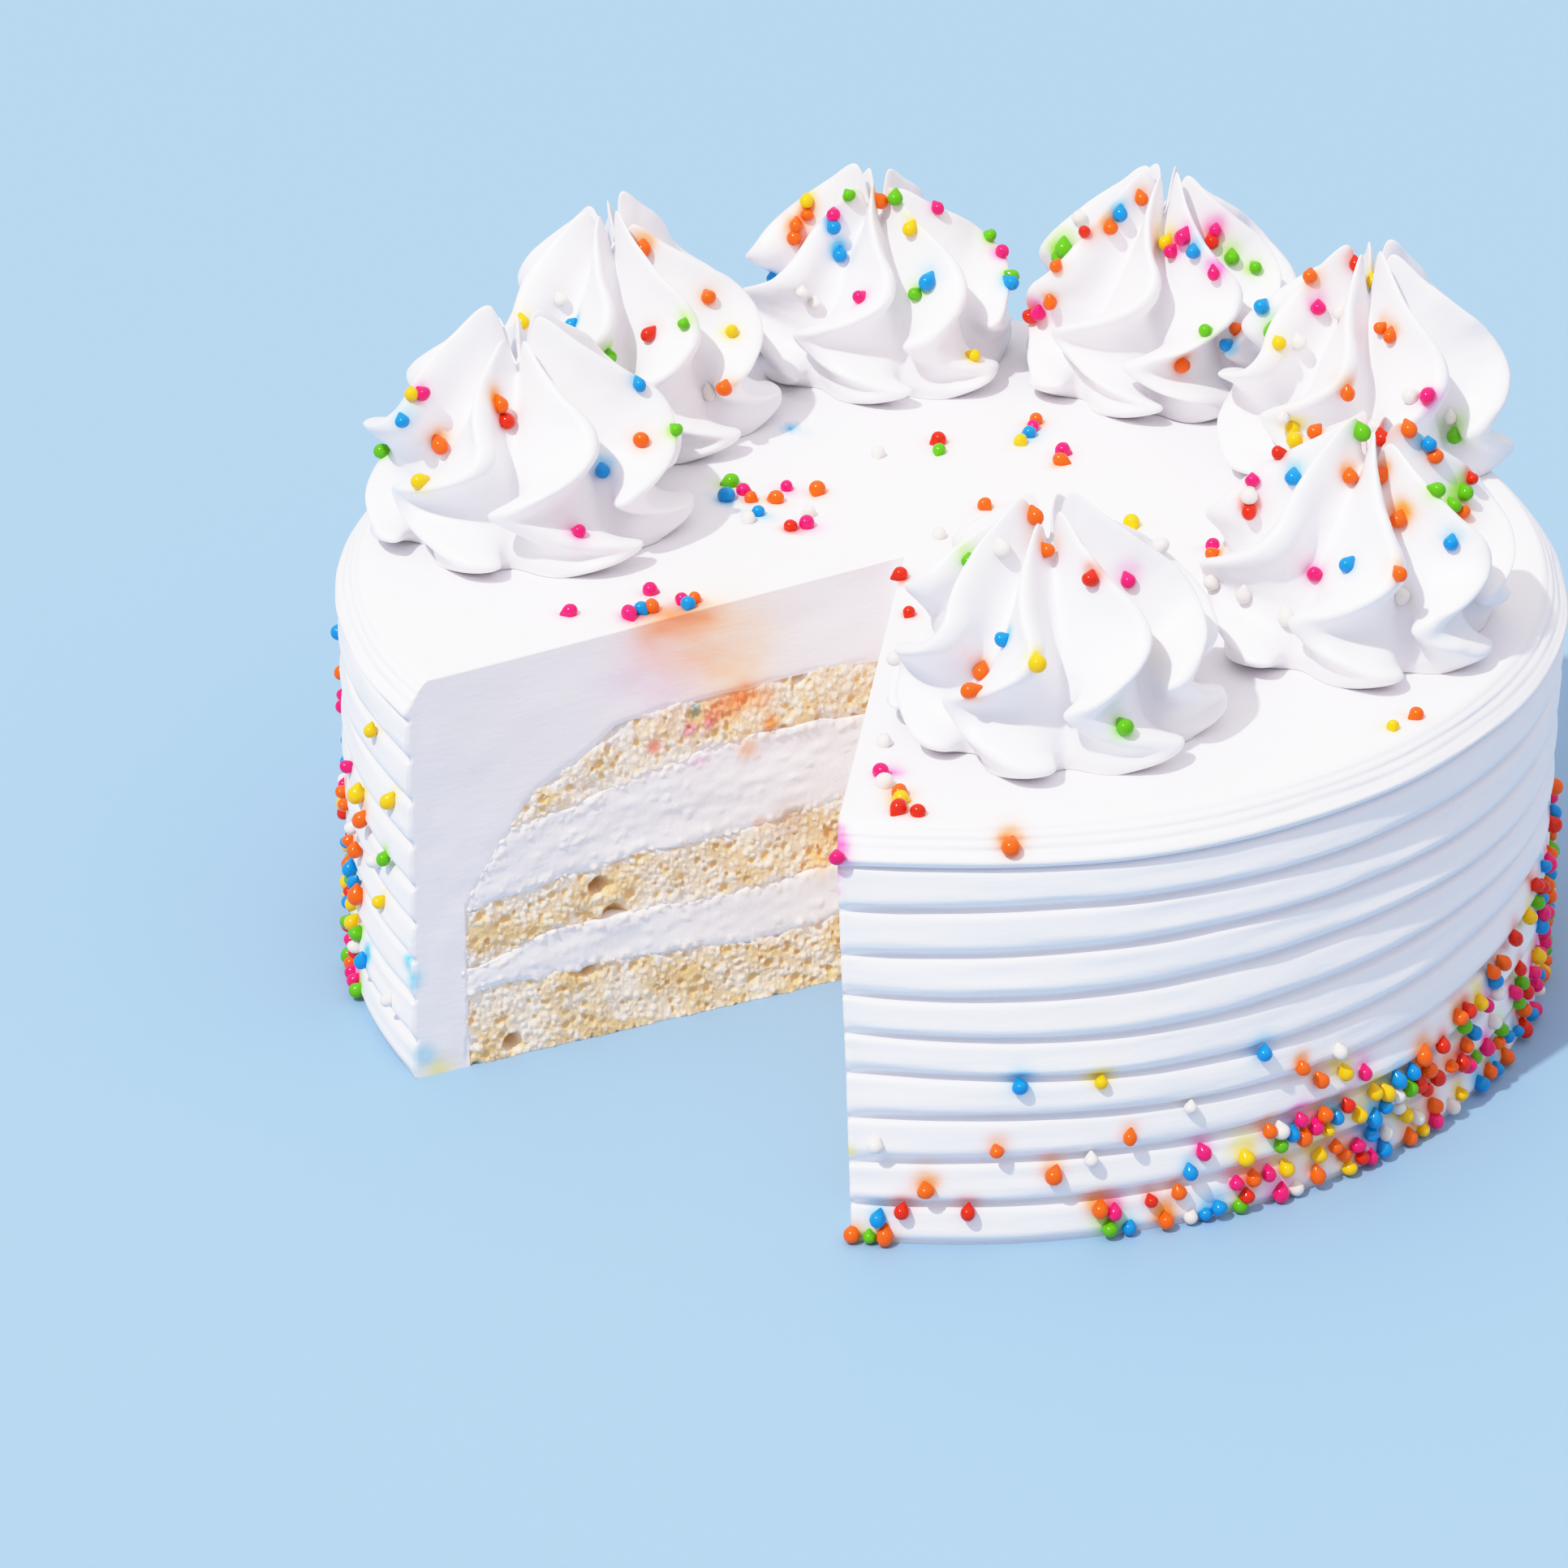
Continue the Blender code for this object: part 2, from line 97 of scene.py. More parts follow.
# One ridge from its groove down to the next: share of the pitch, and share of its depth
RIDGE_DEEPENING = 0.0004
RIDGE_SHAPE = np.array((
    (0.000, 0.00), (0.015, 0.15), (0.035, 0.46), (0.075, 0.62), (0.150, 0.71), (0.260, 0.77),
    (0.370, 0.84), (0.470, 0.92), (0.560, 0.99), (0.620, 0.99), (0.690, 0.93), (0.760, 0.80),
    (0.820, 0.60), (0.870, 0.34), (0.910, 0.10), (0.960, 0.00),
))

# The lip from its foot up to the plateau: share of its height, and radius
LIP_SHAPE = np.array((
    (0.00, 0.08040), (0.04, 0.08030), (0.12, 0.07998), (0.30, 0.07942), (0.50, 0.07890),
    (0.68, 0.07835), (0.82, 0.07785), (0.92, 0.07740), (0.98, 0.07705), (1.00, 0.07680),
))

# Lines that the comb left in the lip: share of its height, and depth
LIP_LINES = ((0.30, 0.00014), (0.56, 0.00017), (0.80, 0.00013))
LIP_LINE_WIDTH = 0.055

# Unevenness of icing and cream, as layers of lumps: their size, height and salt. Next to them
# stand how the lumps are drawn out, and how near the borders they fade.
COMB_DRAG = ((0.0070, 0.00009, 5), (0.019, 0.00012, 6))
DRAG_RADIUS = 0.08
DRAG_FLATNESS = 14.0
SIDE_LUMPS = ((0.011, 0.00018, 8), (0.026, 0.00025, 9))
EVEN_FOOT = 0.004
EVEN_TOP = 0.003
PLATEAU_LUMPS = ((0.018, 0.00012, 21),)
PLATEAU_SINK = 0.00006
CUT_DRAG = ((0.0060, 0.00014, 13),)
CUT_STRETCH = (1.0, 1.0, 1.6)
CUT_LUMPS = ((0.0028, 0.00005, 14),)
CUT_EDGE_FADE = 0.0060
CUT_FOOT_ROWS = 8.0
CUT_TIP_ROWS = 5.0
BORDER_WANDER = ((0.0010, 0.0004, 16),)
JOIN_RAGGEDNESS = ((0.0062, 0.00080, 0), (0.0024, 0.00035, 1))
JOIN_TIP_FADE = 0.016
JOIN_TIP_CALM = 0.4
JOIN_END_FADE = 0.002
JOIN_SALTS = {"left": 31, "right": 57}
CREAM_SMEARS = ((0.0070, 0.00022, 0), (0.0024, 0.00012, 1))
CREAM_STRETCH = (1.0, 1.0, 2.2)
CREAM_BORDER_WANDER = ((0.0010, 0.0004, 20),)
PIPED_RUFFLE = ((0.0042, 0.00020, 0), (0.0013, 0.00004, 1))

# Layers, as (radius, height) points from the axis outwards along each join
LAYER_RADIUS = 0.0727
CREAM_OVERLAP = 0.0004
SPONGE_OVERLAP = 0.0009
CREAM_BORDER = (0.0009, 0.00018)
SPONGE_BORDER = (0.0018, 0.0006)
BOTTOM_SPONGE_TOP = ((0.0, 0.0092), (0.032, 0.0096), (0.056, 0.0107), (LAYER_RADIUS, 0.0109))
LOWER_CREAM_TOP = ((0.0, 0.0174), (0.032, 0.0155), (0.058, 0.0166), (LAYER_RADIUS, 0.0140))
MIDDLE_SPONGE_TOP = ((0.0, 0.0282), (0.032, 0.0250), (0.058, 0.0254), (LAYER_RADIUS, 0.0234))
UPPER_CREAM_TOP = ((0.0, 0.0360), (0.040, 0.0378), (0.058, 0.0340), (0.066, 0.0330))
TOP_SPONGE_TOP = ((0.0, 0.0432), (0.036, 0.0457), (0.050, 0.0442), (0.058, 0.0397), (0.066, 0.0344))

# Points on the layers' cut faces: how far apart, how few rows at least, and over how many
# columns from the tip their relief comes in
SPONGE_SPACING = 0.00019
CREAM_SPACING = 0.00032
FEWEST_ROWS = 8
CALM_COLUMNS = 4.0

# Pits of the crumb and crumbs on the cream: size of their cells, how far they fill them, salt
HOLES = (0.0100, 0.25, 10)
PORES = (0.0016, 0.55, 20)
CRUMBS = (0.0009, 0.74, 30)
GRAINS = (0.0005, 0.75, 40)
STRAY_CRUMBS = (0.0012, 0.70, 10)
SMALLEST_PIT = 0.25
HOLE_DEPTH = 0.0022
PORE_DEPTH = 0.00052
DENSER_DEPTH = 0.00030
CRUMB_WANDER = (0.0016, 0.0003)
CRUMB_SALTS = {"left": 100, "right": 200}
CREAM_SALTS = {"left": 300, "right": 400}

# Wider changes in the crumb, as layers of noise: dense regions, lumps, and how the border and
# the smeared cream wander
REGIONS = ((0.0060, 1.0, 60),)
LUMPS = ((0.0030, 1.0, 65),)
CRUMB_BORDER_WANDER = ((0.0018, 0.0008, 75),)
SMEAR_WANDER = ((0.0013, 0.8, 70),)

# Cream smeared over the crumb: how far from the join, how much, and how it evens the crumb out
SMEAR_REACH = 0.0026
SMEAR_SHARE = 0.8
SMEAR_EVENING = 0.3
SMEAR_COVER = 0.85

# How far crumbs, grains and lumps stand out, and how far back all of them lie
CRUMB_RISES = (0.00024, 0.00012, 0.00024)
CRUMB_SETBACK = 0.00012

# How golden the crumb is: at first, and by its crumbs, grains, pores, regions and lumps. Raised
# crumbs and grains are lighter and pores more golden, partly the crumb's own colour and partly
# painted shade. What is deepest turns brown as painted shade in the holes, and so does what is
# past LAST_GOLD.
GOLD_BASE = 0.64
GOLD_AND_SHADE_SHARES = (-0.80, -0.40, 1.05, 0.60, 0.42)
HOLE_PAINTED_SHADE = 1.6
BROWN_START = 0.3
LAST_GOLD = 1.1
PAST_GOLD_BROWN = 0.5

# Torn cream, and the stray crumbs on it towards its borders
TORN_SIZE = 0.0013
TORN_START = 0.45
TORN_HEIGHT = 0.0004
STRAY_HEIGHT = 0.00040
STRAY_REACH = 0.0020
STRAY_BASE = 0.12
STRAY_COVER = 0.9

# Missing slice, as its two tips and the ends of its two cuts at the rim
SLICE_TIP_TOP = np.array((-0.0060, -0.0030))
SLICE_TIP_BASE = np.array((-0.0080, -0.0110))
CUT_ENDS = {
    "left": (np.array((-0.0680, -0.0428)), np.array((-0.0692, -0.0418))),
    "right": (np.array((-0.0133, -0.0801)), np.array((-0.0112, -0.0805))),
}
CUT_NORMALS = {"left": np.array((0.540, -0.842, 0.0)), "right": np.array((-0.995, 0.095, 0.0))}

# Rosettes
Rosette = namedtuple("Rosette", "x y radius height fins turn lean seed")
ROSETTES = (
    Rosette(-0.0558, 0.0065, 0.0216, 0.0290, 7, 0.67, -0.0010, 11),
    Rosette(-0.0438, 0.0412, 0.0203, 0.0302, 7, 0.72, -0.0030, 23),
    Rosette(-0.0102, 0.0618, 0.0196, 0.0270, 7, 0.05, -0.0007, 37),
    Rosette(0.0284, 0.0572, 0.0196, 0.0296, 8, 0.40, 0.0007, 41),
    Rosette(0.0560, 0.0302, 0.0200, 0.0290, 7, 0.60, -0.0007, 59),
    Rosette(0.0510, -0.0225, 0.0206, 0.0278, 7, 0.15, 0.0016, 61),
    Rosette(0.0131, -0.0486, 0.0214, 0.0290, 8, 0.50, -0.0016, 79),
)
NEIGHBOUR_REACH = 0.045
NEIGHBOUR_GAP = 0.00015
RIM_LIMIT = 0.0812
CLAMP_SOFTNESS = 0.0030
ROSETTE_ROWS = 132
COLUMNS_PER_FIN = 26

# Sections of a rosette from the hollow in its crown down to its foot. Each row holds the
# crest's radius and height, the crease's radius and height, and how far the crest runs
# sideways. Radii are parts of the rosette's radius and heights parts of its height.
SECTIONS = np.array((
    (0.06, 0.84, 0.05, 0.80, 0.00),
    (0.15, 1.00, 0.12, 0.80, 0.00),
    (0.37, 0.90, 0.23, 0.73, 0.10),
    (0.60, 0.78, 0.34, 0.63, 0.35),
    (0.78, 0.67, 0.43, 0.54, 0.60),
    (0.90, 0.565, 0.50, 0.46, 0.45),
    (0.97, 0.47, 0.56, 0.39, -0.10),
    (0.98, 0.385, 0.60, 0.33, -0.70),
    (0.94, 0.31, 0.63, 0.27, -1.00),
    (0.93, 0.235, 0.66, 0.205, -0.62),
    (0.99, 0.16, 0.69, 0.135, 0.10),
    (1.01, 0.08, 0.71, 0.065, 0.85),
    (0.86, 0.00, 0.70, 0.00, 0.80),
))
LAST_SECTION = len(SECTIONS) - 1.0
CROWN_HOLLOW = 0.79
BLADE_THINNESS = 3.0
LOBE_THINNESS = 0.5
FOOT_FULLNESS = 0.6
LEAN_SHARE = 0.90
LEAN_CURVE = 1.5
SETTLED_ROWS = 1.5
LOBE_ROW = 3.0
FIN_JITTER = 0.10
TIP_JITTER = 0.07
SWING_RANGE = (0.28, 0.62)
SIZE_RANGE = (0.95, 1.03)
LATE_RANGE = (-0.6, 0.6)

# Sprinkles that are part of the solids, by the rule that places them there. A band holds its
# count, the angles between which it runs, its height and how much it crowds to the foot.
SOLID_RADIUS = 0.00125
SOLID_SINK = 0.35
SOLID_SPACING = 0.0042
ROSETTE_SPRINKLES = 4
SPRINKLE_ROWS = (2.2, 5.4)
FLANKS = (0.25, 0.75)
FLANK_JITTER = 0.08
NEIGHBOUR_ROOM = 2.4
PROBE_ROW = 0.1
PROBE_ACROSS = 0.02
BAND_SEED = 7
ROSETTE_SEED_STEP = 500
BAND_SPRINKLES = 27
BAND_START = math.radians(-68.0)
BAND_END = math.radians(200.0)
BAND_LOW = 0.0019
BAND_HEIGHT = 0.014
LEFT_SPRINKLES = 5
LEFT_START = math.radians(178.0)
LEFT_END = math.radians(209.0)
LEFT_HEIGHT = 0.047
SIDE_BANDS = (
    (BAND_SPRINKLES, BAND_START, BAND_END, BAND_HEIGHT, 2),
    (LEFT_SPRINKLES, LEFT_START, LEFT_END, LEFT_HEIGHT, 1),
)
TOP_SPRINKLES = (
    (-0.0018, 0.0335), (0.0115, 0.0405), (0.0150, 0.0300), (-0.0295, 0.0190),
    (-0.0220, 0.0175), (-0.0255, 0.0095), (-0.0205, 0.0060), (-0.0395, -0.0205),
    (-0.0335, -0.0188), (0.0620, 0.0045), (-0.0060, -0.0715),
)

# Sprinkles seen in the photograph, as the pixels of their middles, by colour
SHOWN_SPRINKLES = {
    "orange": (
        (995, 265), (981, 278), (978, 292), (1080, 248), (541, 548), (1213, 626), (1272, 636),
        (1286, 679), (1208, 827), (1198, 854), (1623, 534), (1735, 528), (1766, 562), (1661, 587),
        (1703, 587), (1801, 632), (1725, 641), (1722, 708), (1495, 686), (1307, 571), (925, 617),
        (956, 618), (1007, 607), (803, 752), (856, 741), (1108, 980), (1245, 1043), (1745, 884),
        (1228, 1417), (1391, 1400), (1297, 1445), (1141, 1465), (1051, 1531), (1091, 1530),
        (434, 1036), (1405, 244), (1366, 280), (1303, 329), (1295, 370), (1525, 408), (1454, 449),
        (1615, 342), (1715, 414), (1658, 482), (1450, 1466), (1354, 1488), (1435, 1502),
        (1542, 1450), (1560, 1390), (1604, 1400), (1627, 1370), (1621, 1447), (1603, 1315),
        (1623, 1328), (1734, 1400), (1750, 1300), (793, 306), (871, 367), (892, 479), (790, 545),
    ),
    "red": (
        (621, 519), (1109, 712), (1346, 713), (1120, 758), (1577, 561), (1810, 590), (1539, 629),
        (974, 652), (1107, 1000), (1131, 1004), (1112, 1486), (1192, 1487), (1337, 287),
        (1273, 389), (1493, 297), (1668, 325), (1698, 539), (1417, 1478), (1534, 1472),
        (1655, 1359), (1745, 1335), (801, 413),
    ),
    "pink": (
        (1026, 266), (1153, 257), (1233, 313), (1061, 368), (519, 486), (712, 658), (1544, 593),
        (1620, 708), (1494, 676), (1273, 529), (916, 608), (994, 649),
        (1032, 1058), (801, 731), (702, 757),
        (775, 760), (840, 742), (1085, 955), (1481, 1418), (1282, 383), (1461, 292), (1497, 284),
        (1497, 336), (1622, 379), (1760, 490), (1372, 1492), (1446, 1510), (1521, 1456),
        (1560, 1444), (1575, 1470), (1596, 1375), (1617, 1386), (1679, 1321), (1667, 1409),
        (1686, 1425),
    ),
    "yellow": (
        (995, 248), (1084, 237), (1123, 282), (1198, 441), (643, 397), (506, 487), (519, 597),
        (1394, 648), (1275, 817), (1593, 525), (1598, 545), (1257, 547), (1110, 988), (1716, 898),
        (1355, 1331), (447, 978), (484, 986), (1440, 300), (1574, 424), (1689, 346), (1533, 1425),
        (1634, 1392), (1620, 1420), (1659, 1438), (1653, 1319), (1686, 1342), (1672, 1373),
        (1724, 1370),
    ),
    "blue": (
        (1025, 280), (1120, 270), (1246, 345), (1033, 314), (955, 340), (1144, 348), (708, 401),
        (496, 517), (743, 580), (1758, 547), (1594, 588), (1788, 669), (1268, 537), (895, 615),
        (1256, 1335), (1548, 1290), (1465, 1443), (1082, 1500), (428, 1112), (1378, 263),
        (1473, 310), (1556, 380), (1513, 428), (1389, 1514), (1483, 1496), (1500, 1486),
        (1589, 1395), (1643, 1375), (1683, 1394), (1702, 1414), (1704, 1362), (1709, 1324),
        (1727, 1315), (786, 474),
    ),
    "green": (
        (1045, 241), (1106, 244), (1221, 286), (1249, 329), (1129, 363), (458, 546), (1192, 690),
        (1383, 898), (1674, 532), (1796, 536), (1768, 607), (1801, 607), (1789, 623), (1157, 558),
        (1073, 1535), (436, 1083), (1311, 304), (1305, 314), (1516, 318), (1546, 331),
        (1486, 410), (1366, 1512), (1524, 1489), (1576, 1410), (844, 400), (831, 532),
    ),
    "pearl": (
        (987, 357), (1003, 373), (1157, 662), (1233, 676), (1427, 674), (1106, 815), (1089, 918),
        (1696, 528), (1539, 611), (1496, 714), (1535, 731), (1721, 735), (1585, 760), (1082, 562),
        (922, 643), (997, 635), (1090, 968), (1079, 1410), (1460, 1357), (468, 1060), (1331, 268),
        (1597, 422), (1582, 512), (1740, 491), (1789, 514), (1340, 1420), (1465, 1500),
        (1592, 1467), (1574, 1390), (1649, 1295), (1702, 1394), (1719, 1349), (871, 485),
    ),
}
SHOWN_SPACING = 0.0014

# Sprinkles as modelled. Rooms and lifts are parts of a sprinkle's radius.
BEAD_SEED = 4711
BEAD_RADII = (0.00084, 0.00122, 0.00098)
BEAD_WIDTHS = (0.92, 1.06)
BEAD_LENGTHS = (0.82, 1.15)
BEAD_LIFT = 0.50
BRIDGE_RADIUS = 0.0799
FLOOR_ROOM = 1.16
DROP_SIDES = 14
DROP_RINGS = 10
DROP_TAIL = 0.42
TAIL_WANDER = 0.35
TAIL_SINK = 0.45
TAIL_POWER = 2.5
TAIL_THINNING = -0.55
PEAK_POWER = 7.0
LEAST_SLOPE = 0.35

# Dye round the sprinkles: how strong, how far it reaches and how far above them it starts
DYE_SEED = 19
DYE_STRENGTHS = (0.45, 1.00)
DYE_REACHES = (1.25, 1.85)
DYE_RISES = {"side": 0.9, "top": 0.1}
SIDE_LEVELNESS = 0.5
PEARL_DYE = 0.2
DYE_CORE = 1.3
DYE_END = 2.6
DYE_BOUND = 3.0
DYE_MOTTLE = (0.0016, 0.35, 77)

# Sprinkles in the crowded band round the foot and in places that the photograph hides
CROWD_COUNT = 560
CROWD_START = math.radians(-52.0)
CROWD_END = math.radians(196.0)
CROWD_RISE = math.radians(42.0)
CROWD_FOOT = 0.0012
CROWD_HEIGHTS = (0.007, 0.025)
CROWD_LOWNESS = 1.5
CROWD_SPACING = 0.0020
CROWD_CLOSENESS = 0.85
LEFT_COUNT = 10
LEFT_FOOT = 0.0015
LEFT_LOWNESS = 1.4
HIDDEN_PER_ROSETTE = 7
HIDDEN_ROWS = (2.0, 10.0)
HIDDEN_FLANKS = (0.2, 0.3, 0.7, 0.8)
HIDDEN_BEHIND = 0.004

# Colours of the sprinkles and of the dye that runs from them, as linear red, green, blue
SPRINKLE_COLOURS = {
    "orange": (0.930, 0.120, 0.000),
    "red": (0.720, 0.018, 0.001),
    "pink": (0.840, 0.006, 0.150),
    "yellow": (0.900, 0.530, 0.000),
    "blue": (0.000, 0.260, 0.660),
    "green": (0.110, 0.460, 0.000),
    "pearl": (0.80, 0.750, 0.700),
}
DYE_COLOURS = {
    "orange": (1.06, 0.38, 0.04),
    "red": (1.00, 0.22, 0.12),
    "pink": (1.00, 0.26, 0.66),
    "yellow": (1.00, 0.86, 0.08),
    "blue": (0.12, 0.66, 1.00),
    "green": (0.50, 0.92, 0.16),
    "pearl": (0.97, 0.96, 0.95),
    # Peach goes past 1 in red, so its stains lighten the icing past its own colour: painted light on
    # stains that lie in shade.
    "peach": (1.14, 0.78, 0.44),
    "lilac": (1.00, 0.84, 1.04),
    "brown": (0.72, 0.50, 0.32),
}
COLOUR_WEIGHTS = {"orange": 8, "red": 5, "pink": 6, "yellow": 5, "blue": 5, "green": 4, "pearl": 4}

# Stains seen in the photograph, by dye: pixel across and down, reach in metres and strength
STAINS = {
    "orange": (
        (806, 764, 0.0030, 0.50), (838, 758, 0.0030, 0.50), (866, 752, 0.0026, 0.45),
        (900, 868, 0.0018, 0.55), (918, 852, 0.0018, 0.60), (940, 862, 0.0020, 0.45),
        (951, 892, 0.0011, 0.70), (921, 922, 0.0014, 0.60), (936, 1012, 0.0009, 0.35),
        (1245, 1030, 0.0020, 0.45),
    ),
    "peach": (
        (820, 790, 0.0060, 0.40), (862, 784, 0.0065, 0.38), (905, 796, 0.0065, 0.45),
        (902, 842, 0.0040, 0.45), (1006, 1052, 0.0024, 0.50), (1012, 1066, 0.0016, 0.45),
    ),
    "lilac": (
        (790, 820, 0.0055, 0.55), (850, 830, 0.0060, 0.35),
    ),
    "blue": (
        (855, 878, 0.0008, 0.60), (858, 870, 0.0006, 0.60), (970, 526, 0.0010, 0.95),
        (980, 530, 0.0010, 0.95), (990, 531, 0.0010, 0.90), (524, 1300, 0.0016, 0.50),
        (502, 1185, 0.0012, 0.85), (508, 1210, 0.0012, 0.80),
    ),
    "pink": (
        (848, 898, 0.0010, 0.55), (875, 890, 0.0009, 0.60), (862, 938, 0.0009, 0.35),
        (1036, 1020, 0.0007, 0.80), (1036, 1034, 0.0010, 1.00), (1038, 1046, 0.0010, 1.00),
        (1033, 1080, 0.0006, 0.60), (1034, 1100, 0.0005, 0.55), (1105, 950, 0.0014, 0.70),
        (1095, 948, 0.0014, 0.70),
    ),
    "red": (
        (880, 878, 0.0014, 0.50), (806, 920, 0.0010, 0.60),
    ),
    "brown": (
        (972, 1010, 0.0022, 0.60), (1030, 1025, 0.0020, 0.45),
    ),
    "yellow": (
        (1046, 1418, 0.0009, 0.90), (520, 1340, 0.0022, 0.50),
    ),
}

# Colours of icing, cream and crumb, as linear red, green and blue
ICING_COLOUR = (0.890, 0.872, 0.905)
# Warmer colour of the icing's cut faces: painted warm bounce light on faces that the key light barely
# reaches.
CUT_FACE_PAINTED_BOUNCE = np.array((1.040, 0.995, 0.975))
CREAM_COLOUR = np.array((0.925, 0.865, 0.865))
CRUMB_LIGHT = np.array((0.995, 0.850, 0.705))
CRUMB_GOLD = np.array((0.880, 0.590, 0.280))
CRUMB_DEEP = np.array((0.600, 0.330, 0.120))
FLOOR_COLOUR = (0.290, 0.460, 0.680)
FLOOR_ROUGHNESS = 0.6
FLOOR_SIZE = 6.0

# Finishes: colour, roughness, size of the grain, how mottled, depth of the grain, and how far
# the grain is drawn out into level lines
Finish = namedtuple("Finish", "colour roughness grain mottle bump stretch")
FINISHES = {
    "icing": Finish(ICING_COLOUR, 0.50, 0.0026, 0.020, 0.00005, 4.0),
    "piped_icing": Finish(ICING_COLOUR, 0.45, 0.0015, 0.015, 0.00002, 1.0),
    "sponge": Finish((1.0, 1.0, 1.0), 0.90, 0.00030, 0.220, 0.00012, 1.0),
    "cream": Finish((1.0, 1.0, 1.0), 0.60, 0.00050, 0.050, 0.00006, 1.0),
}
BROAD_GRAIN_SCALE = 160.0
SUGAR_ROUGHNESS = 0.14
SUGAR_SPECULAR = 0.32

# Light: the way to the key light, its strength, the room's light and how bright tones ease off
KEY_DIRECTION = (-0.38, -0.43, 0.82)
KEY_STRENGTH = 2.45
KEY_SPREAD = math.radians(1.6)
KEY_COLOUR = (1.0, 0.985, 0.965)
ROOM_COLOUR = (1.0, 0.955, 0.990, 1.0)
ROOM_STRENGTH = 0.62
OVERHEAD_STRENGTH = 1.00
OVERHEAD_SPREAD = math.radians(110.0)
TONE_TOP = 1.7
TONE_POINTS = ((0.30, 0.295), (0.60, 0.590), (0.80, 0.750), (1.00, 0.860), (1.30, 0.945))

# Photograph's size in pixels and its camera, in metres and degrees. Pixels that miss the cake
# are pulled towards the middle in steps.
PHOTO_SIZE = 1932
CAMERA_DISTANCE = 0.7700
CAMERA_ELEVATION = 29.007
CAMERA_YAW = -1.65213
CAMERA_PITCH = 1.45489
CAMERA_ROLL = 0.71215
CAMERA_LENS = 130.4
SENSOR_WIDTH = 36.0
PULL_STEPS = 8
PULL_SHARE = 0.01


def smooth(share):
    """Ease from 0 to 1."""
    share = np.clip(share, 0.0, 1.0)
    return share * share * (3.0 - 2.0 * share)


def cell_random(cells, salt):
    """A repeatable number from 0 to 1 for each whole-number cell."""
    mixed = cells[..., 0] * 73856093 ^ cells[..., 1] * 19349663 ^ cells[..., 2] * 83492791
    mixed = (mixed ^ (salt * 2654435761)) & 0xFFFFFFFF
    mixed = ((mixed ^ (mixed >> 15)) * 2246822519) & 0xFFFFFFFF
    mixed = ((mixed ^ (mixed >> 13)) * 3266489917) & 0xFFFFFFFF
    return ((mixed ^ (mixed >> 16)) & 0xFFFFFF) / float(0xFFFFFF)


def soft_noise(points, size, salt):
    """Smooth noise from -1 to 1 with lumps of the given size."""
    scaled = points / size
    base = np.floor(scaled).astype(np.int64)
    share = smooth(scaled - base)
    total = np.zeros(points.shape[:-1])
    for corner in range(8):
        step = np.array((corner & 1, corner >> 1 & 1, corner >> 2 & 1))
        weight = np.prod(np.where(step == 1, share, 1.0 - share), axis=-1)
        total += weight * cell_random(base + step, salt)
    return total * 2.0 - 1.0


def layered_noise(points, layers, salt=0):
    """Smooth unevenness from layers of lumps, each with its size, height and salt."""
    return sum(height * soft_noise(points, size, salt + extra) for size, height, extra in layers)


def pits(points, kind, salt):
    """Round pits scattered one to a cell: 0 outside them and up to 1 at the deepest."""
    size, fill, extra = kind
    salt += extra
    scaled = points / size
    base = np.floor(scaled).astype(np.int64)
    deepest = np.zeros(points.shape[:-1])
    for number in range(27):
        step = np.array((number % 3 - 1, number // 3 % 3 - 1, number // 9 - 1))
        cell = base + step
        centre = cell + np.stack([cell_random(cell, salt + axis) for axis in range(3)], axis=-1)
        size_here = SMALLEST_PIT + (1.0 - SMALLEST_PIT) * cell_random(cell, salt + 3)
        reach = fill * size_here
        apart = np.linalg.norm(scaled - centre, axis=-1) / reach
        deepest = np.maximum(deepest, np.clip(1.0 - apart * apart, 0.0, 1.0))
    return deepest


class Shell:
    """Grids and polygons of coloured points that are welded into one closed mesh."""

    def __init__(self):
        self.points = []
        self.colours = []
        self.faces = []
        self.count = 0

    def add(self, points, colours=None):
        """Store a block of points and return the number of its first."""
        first = self.count
        self.points.append(points.reshape(-1, 3))
        shown = np.ones_like(self.points[-1]) if colours is None else colours.reshape(-1, 3)
        self.colours.append(shown)
        self.count += self.points[-1].shape[0]
        return first

    def grid(self, points, colours=None, flip=False, wrap=False):
        """A sheet of quads over rows and columns of points."""
        rows, columns = points.shape[:2]
        first = self.add(points, colours)
        index = first + np.arange(rows * columns).reshape(rows, columns)
        if wrap:
            index = np.concatenate([index, index[:, :1]], axis=1)
        a, b = index[:-1, :-1], index[:-1, 1:]
        c, d = index[1:, 1:], index[1:, :-1]
        order = (a, d, c, b) if flip else (a, b, c, d)
        self.faces.extend(np.stack(order, axis=-1).reshape(-1, 4).tolist())

    def polygon(self, points, flip=False):
        """One flat or nearly flat face through a loop of points."""
        first = self.add(points)
        loop = list(range(first, self.count))
        self.faces.append(loop[::-1] if flip else loop)

    def mesh(self, name):
        """The welded mesh with its faces turned outwards and its colours as an attribute."""
        mesh = bpy.data.meshes.new(name)
        mesh.from_pydata(np.concatenate(self.points).tolist(), [], self.faces)
        store_colour(mesh, np.concatenate(self.colours))
        shape = bmesh.new()
        shape.from_mesh(mesh)
        bmesh.ops.remove_doubles(shape, verts=shape.verts[:], dist=WELD_DISTANCE)
        large = [face for face in shape.faces if len(face.verts) > 4]
        bmesh.ops.triangulate(shape, faces=large)
        bmesh.ops.dissolve_degenerate(shape, dist=SHORTEST_EDGE, edges=shape.edges[:])
        bmesh.ops.recalc_face_normals(shape, faces=shape.faces[:])
        if shape.calc_volume(signed=True) < 0.0:
            bmesh.ops.reverse_faces(shape, faces=shape.faces[:])
        shape.to_mesh(mesh)
        shape.free()
        mesh.shade_smooth()
        return mesh


